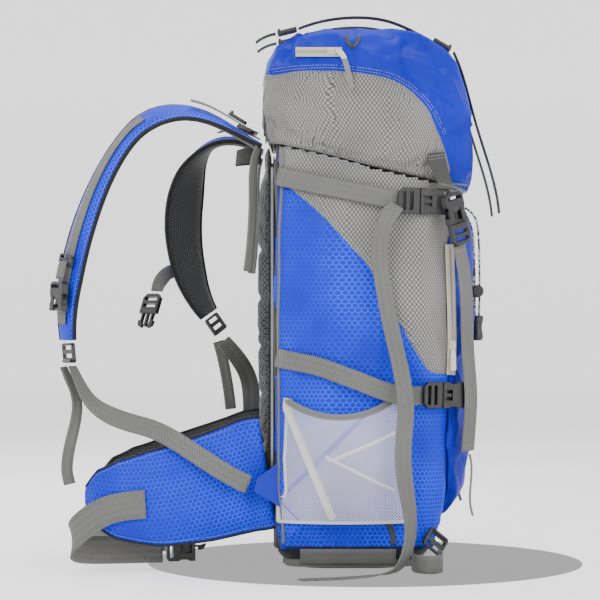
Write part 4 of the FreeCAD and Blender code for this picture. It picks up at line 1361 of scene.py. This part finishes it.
# %% Strand tree
strands, strand_in = new_tree("strands", [("Radius", "Float")])
as_curve = strands.nodes.new("GeometryNodeMeshToCurve")
feed(strands, strand_in.outputs["Lines"], as_curve.inputs[0])
round_section = strands.nodes.new("GeometryNodeCurvePrimitiveCircle")
round_section.inputs["Resolution"].default_value = 4
feed(strands, strand_in.outputs["Radius"], round_section.inputs["Radius"])
tube = strands.nodes.new("GeometryNodeCurveToMesh")
feed(strands, as_curve.outputs[0], tube.inputs["Curve"])
feed(strands, round_section.outputs[0], tube.inputs["Profile Curve"])
tube.inputs["Fill Caps"].default_value = True
close_tree(strands, strand_in, tube.outputs[0])

# %% [markdown]
# A stitch and a zip tooth are the same idea: a small solid, again and again along a line, turned along it.
# The across direction turns the solid round the line, so that teeth lie flat on their tape.

# %% Stitch and tooth tree
repeats, repeat_in = new_tree("repeats", [("Pitch", "Float"), ("Size", "Vector"), ("Across", "Vector")])
as_curve = repeats.nodes.new("GeometryNodeMeshToCurve")
feed(repeats, repeat_in.outputs["Lines"], as_curve.inputs[0])
even = add_node(repeats, "GeometryNodeResampleCurve", mode="LENGTH")
feed(repeats, as_curve.outputs[0], even.inputs["Curve"])
feed(repeats, repeat_in.outputs["Pitch"], even.inputs["Length"])
solid = repeats.nodes.new("GeometryNodeMeshIcoSphere")
solid.inputs["Radius"].default_value, solid.inputs["Subdivisions"].default_value = 0.5, 1
along_line = add_node(repeats, "FunctionNodeAlignRotationToVector", axis="Z")
feed(repeats, repeats.nodes.new("GeometryNodeInputTangent").outputs[0], along_line.inputs["Vector"])
flat_on = add_node(repeats, "FunctionNodeAlignRotationToVector", axis="X", pivot_axis="Z")
feed(repeats, along_line.outputs[0], flat_on.inputs["Rotation"])
feed(repeats, repeat_in.outputs["Across"], flat_on.inputs["Vector"])
placed = repeats.nodes.new("GeometryNodeInstanceOnPoints")
feed(repeats, even.outputs[0], placed.inputs["Points"])
feed(repeats, solid.outputs["Mesh"], placed.inputs["Instance"])
feed(repeats, flat_on.outputs[0], placed.inputs["Rotation"])
feed(repeats, repeat_in.outputs["Size"], placed.inputs["Scale"])
close_tree(repeats, repeat_in, placed.outputs[0])

# %% [markdown]
# Each net pocket is a stretched diamond net of real strands. Two sets of slanting lines are laid on the
# side view, cut to the scooped mouth, and put on the pocket's wall by rays from outside. Where they cross,
# one strand passes over the other.


# %% Net pockets
NET_LOW, NET_REAR, NET_FRONT, NET_PITCH = 0.0675, -0.1195, 0.0605, 0.0038
net_tree = tree_of("mesh_pockets")


def net_mouth(x):
    return min(0.256, 0.334 - math.sqrt(max(0.122 ** 2 - (x + 0.038) ** 2, 0.0)))


def net_at(x, z, side, lift=0.0, reach=0.0):
    """The point at mid wall. Within reach, a point off the net's end moves in to where the net begins."""
    inward = 0.0005 if x < -0.03 else -0.0005
    for step in range(int(reach / 0.0005) + 1):
        near = x + inward * step
        hit = net_tree.ray_cast(Vector((near, side * 0.5, z)), Vector((0, -side, 0)))[0]
        if hit is not None:
            return near, hit.y - side * (0.0009 - lift), z
    return None


def net_strands(side):
    lines, half = [], NET_PITCH / 2
    for slope in (1, -1):
        for c in np.arange(-0.4, 0.4, NET_PITCH):
            line = []
            for k in range(int((NET_FRONT - NET_REAR) / half) + 1):
                x = NET_REAR + k * half
                z = c + slope * (x - NET_REAR)
                over = 0.0003 * (1 if k % 2 else -1) * slope
                spot = net_at(x, z, side, over) if NET_LOW < z < net_mouth(x) - 0.006 else None
                if spot is not None:
                    line.append(spot)
                elif line:
                    break
            if len(line) > 2:
                lines.append(line)
    return lines


def net_edge(side, spots, width, thick, lift):
    """A tape laid along the net. Its width lies in the net."""
    points = [net_at(x, z, side, lift, 0.02) for x, z in spots]
    return tape_path(np.array([p for p in points if p is not None]), (0, 1.0, 0), width, thick)


net_area = sum((net_mouth(x) - 0.006 - NET_LOW) * 0.001 for x in np.arange(NET_REAR, NET_FRONT, 0.001))
DENSE_BANDS = [((-0.113, 0.232), (-0.047, 0.072), 0.011), ((-0.057, 0.156), (0.035, 0.110), 0.004),
               ((-0.050, 0.150), (0.042, 0.189), 0.004)]
net_stitch_lines = []
for side, label in SIDES:
    net = grown("net_" + label, strands, net_strands(side), net_yarn, "pack", "net", Radius=0.0004)
    mouth = [(x, net_mouth(x) - 0.0045) for x in np.linspace(NET_REAR, NET_FRONT, 40)]
    hem = trim("net_hem_" + label, [net_edge(side, mouth, 0.0086, 0.0019, 0.0)], grey_tape, "pack")
    ends = [[(x, z) for z in np.linspace(NET_LOW - 0.001, net_mouth(x) - 0.006, 30)] for x in (NET_REAR, NET_FRONT)]
    ends.append([(x, NET_LOW) for x in np.linspace(NET_REAR, NET_FRONT, 30)])
    tapes = [net_edge(side, line, 0.0042, 0.0012, 0.0004) for line in ends]
    for a, b, width in DENSE_BANDS:
        band = [(a[0] + (b[0] - a[0]) * t, a[1] + (b[1] - a[1]) * t) for t in np.linspace(0, 1, 24)]
        tapes.append(net_edge(side, band, width, 0.0006, -0.0005))
    tape = trim("net_tapes_" + label, tapes, white_tape, "pack")
    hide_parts("mesh_pockets")
    for drop in (0.0018, 0.0072):
        net_stitch_lines.append([p for p in (net_at(x, net_mouth(x) - drop, side, 0.0011)
                                             for x in np.linspace(NET_REAR, NET_FRONT, 60)) if p])
print("net flat area", round(net_area, 4))

# %% [markdown]
# A zip is a woven tape with two rows of teeth, each set half a pitch on from the other, so that they mesh.
# Above the slider the rows stay together, because both zips are closed.

# %% Zips
ZIP_PITCH = 0.0017
for label, body in (("lid", "lid"), ("front", "pack")):
    node = label + "_zip_tape"
    paths = read_straps(node, 0.002)
    strap_piece(label + "_zip_cloth", node, cream_tape, paths)
    way = paths[0]
    outward = 1 if way["up"][0] @ np.array((0.2, -1.0, 0.1)) > 0 else -1
    rows = []
    for row in (-1, 1):
        line = way["line"] + way["side"] * (row * 0.00085) + way["up"] * (outward * 0.0008)
        start = line[0] + way["along"][0] * (0.25 * ZIP_PITCH * (1 + row))
        rows.append(np.vstack([start, line[1:-1]]))
    # The teeth take the darker coil colour, as painted shade along the middle of the zip.
    grown(label + "_zip_teeth", repeats, rows, cream_coil_with_painted_shade, body, "zip_tape",
          Pitch=ZIP_PITCH, Size=(0.0026, 0.0013, 0.0011), Across=tuple(way["side"][0]))

# %% [markdown]
# Piping is a thin cord rolled into a strip of cloth and sewn into a seam. Grey piping goes round the lid's
# lower edge and up both rear corners of the bag, and black piping goes round the base seam.


# %% Piping
def found_line(tree, starts, lift):
    """Where rays from each start towards the pack's middle line meet a surface, moved out a little."""
    points = []
    for start, way in starts:
        spot, normal = tree.ray_cast(Vector(start), Vector(way).normalized())[:2]
        if spot is not None:
            points.append(np.array(spot) + np.array(normal) * lift)
    return np.array(points)


def piping(name, lines, radius, material, body):
    paths = []
    for line in lines:
        smooth = line.copy()
        for _ in range(3):
            smooth[1:-1] += 0.5 * ((smooth[:-2] + smooth[2:]) / 2 - smooth[1:-1])
        paths.append(tape_path(smooth, (0.31, 0.17, 0.93), 2 * radius, 2 * radius))
    trim(name, paths, material, body, crowned_tape)


def closed(line):
    return np.vstack([line, line[:1]])


lid_tree, bag_skin_tree = tree_from(lid), tree_from(bag)
lid_edge = [ray_in(x, y, mouth_height(max(min(x * 1.03, 0.115), MOUTH_REAR), 0.5737))
            for x, y in around(*BAG_RING, 240)]
piping("lid_edge_piping", [closed(found_line(lid_tree, lid_edge, 0.0))], 0.0013, grey_tape, "lid")
corner = math.radians(35)
rear_lines = []
for side in (-1, 1):
    away = Vector((-math.cos(corner), side * math.sin(corner), 0))
    starts = [(Vector((-0.100, side * 0.126, z)) + away * 0.1, -away) for z in np.linspace(0.038, 0.560, 110)]
    rear_lines.append(found_line(bag_skin_tree, starts, 0.0004))
piping("rear_piping", rear_lines, 0.0021, grey_tape, "pack")
base_edge = found_line(bag_skin_tree, [ray_in(x, y, 0.0325) for x, y in around(*BAG_RING, 200)], 0.0)
piping("base_piping", [closed(base_edge)], 0.0014, black_tape, "pack")

# %% [markdown]
# Small pieces of webbing are sewn flat on the cloth: a loop for a tool on the lid's side, the pleated strip
# at the net's front end, a band along the base, and a loop low on the side by the base strap.


# %% Sewn-on webbing
def on_side(tree, curve, side, lift=0.0003):
    starts = [((x, side * 0.5, z), (0, -side, 0)) for x, z in curve]
    return found_line(tree, starts, lift)


def laid_on(tree, spots, side, width):
    """A strip laid on a side of the pack along a few points of the side view."""
    return tape_path(on_side(tree, smooth_line(spots, 16), side, 0.0009), (0, 1.0, 0), width, 0.0013)


TOOL_LOOP = ([(-0.030, 0.715), (-0.023, 0.703), (-0.019, 0.699)], [(-0.010, 0.714), (-0.015, 0.704), (-0.019, 0.699)])
BASE_BAND = [(-0.112, 0.0145), (-0.02, 0.0135), (0.066, 0.0145)]
SIDE_LOOP = [(0.024, 0.070), (0.033, 0.052), (0.034, 0.036)]
PLEAT = [(0.0575, z) for z in np.linspace(0.072, 0.246, 24)]
base_tree = tree_from(base)
for side, label in SIDES:
    legs = [laid_on(lid_tree, leg, side, 0.005) for leg in TOOL_LOOP]
    trim("lid_tool_loop_" + label, legs, dark_webbing, "lid")
    trim("base_band_" + label, [laid_on(base_tree, BASE_BAND, side, 0.0165)], grey_webbing, "pack")
    trim("net_pleat_" + label, [net_edge(side, PLEAT, 0.0085, 0.0013, 0.0018)], grey_webbing, "pack")
    trim("base_side_loop_" + label, [laid_on(bag_skin_tree, SIDE_LOOP, side, 0.007)], dark_webbing, "pack")

# %% [markdown]
# Sewing is what makes cloth read as cloth. Rows of stitches follow the seams a few millimetres off them,
# run along hems and bindings, and hold the webbing down in bar tacks. There is one mesh for each body.


# %% Stitch lines
def beside(curve, gap):
    """A line on the side view at an even distance from another."""
    tangent = unit(np.gradient(curve, axis=0))
    return curve + np.stack([-tangent[:, 1], tangent[:, 0]], axis=1) * gap


def bar_tack(path, end):
    """Zigzag of thread across a strap, close to one of its ends."""
    at = path["at"] if end == 0 else path["at"][-1] - path["at"]
    chosen = np.flatnonzero((at > 0.003) & (at < 0.003 + 0.007))
    lines = []
    for i in chosen[:: max(len(chosen) // 3, 1)]:
        for face in (-1, 1):
            w = path["width"][i] / 2 - 0.0015
            lines.append([path["line"][i] + path["side"][i] * a + path["up"][i] * (face * path["thick"][i] * 0.5)
                          for a in np.linspace(-w, w, 9)])
    return lines


def edge_rows(path, inset, face):
    """A row along each edge of a strap or a pad, on one of its faces."""
    rows = []
    for sign in (-1, 1):
        off = (path["width"] / 2 - inset)[:, None]
        rows.append(path["line"] + path["side"] * (sign * off) + path["up"] * (face * path["thick"] * 0.42)[:, None])
    return rows


pack_lines, lid_lines = list(net_stitch_lines), []
for side in (-1, 1):
    for gap in (0.0028, 0.0064):
        pack_lines.append(on_side(bag_skin_tree, beside(BAG_SEAM, gap), side))
        lid_lines.append(on_side(lid_tree, beside(LID_SEAM, gap)[8:-14], side))
for line in rear_lines:
    pack_lines.append(line + np.array((0.0048, 0, 0)))
for node in ("compression_webbing", "lid_anchor_straps", "tool_loops", "haul_loop"):
    for path in strap_paths[node]:
        for end in (0, 1):
            pack_lines += bar_tack(path, end)
for path in strap_paths["lid_straps"]:
    lid_lines += bar_tack(path, 0) + bar_tack(path, 1)
SEWN = {"pack": pack_lines, "lid": lid_lines}
for label in ("left", "right"):
    for path in strap_paths["shoulder_webbing_" + label]:
        SEWN.setdefault("shoulder_" + label, []).extend(bar_tack(path, 0))
    for pads, body in (("shoulder_" + label, "shoulder_" + label), ("wing_" + label, "belt_" + label)):
        for path in pad_paths[pads]:
            SEWN.setdefault(body, []).extend(edge_rows(path, 0.0062, 0.62))
for body, lines in SEWN.items():
    lines = [line for line in lines if len(line) > 2]
    grown("stitches_" + body, repeats, lines, thread, body, "webbing",
          Pitch=0.0036, Size=(0.0007, 0.0007, 0.0027), Across=(0.0, 1.0, 0.0))
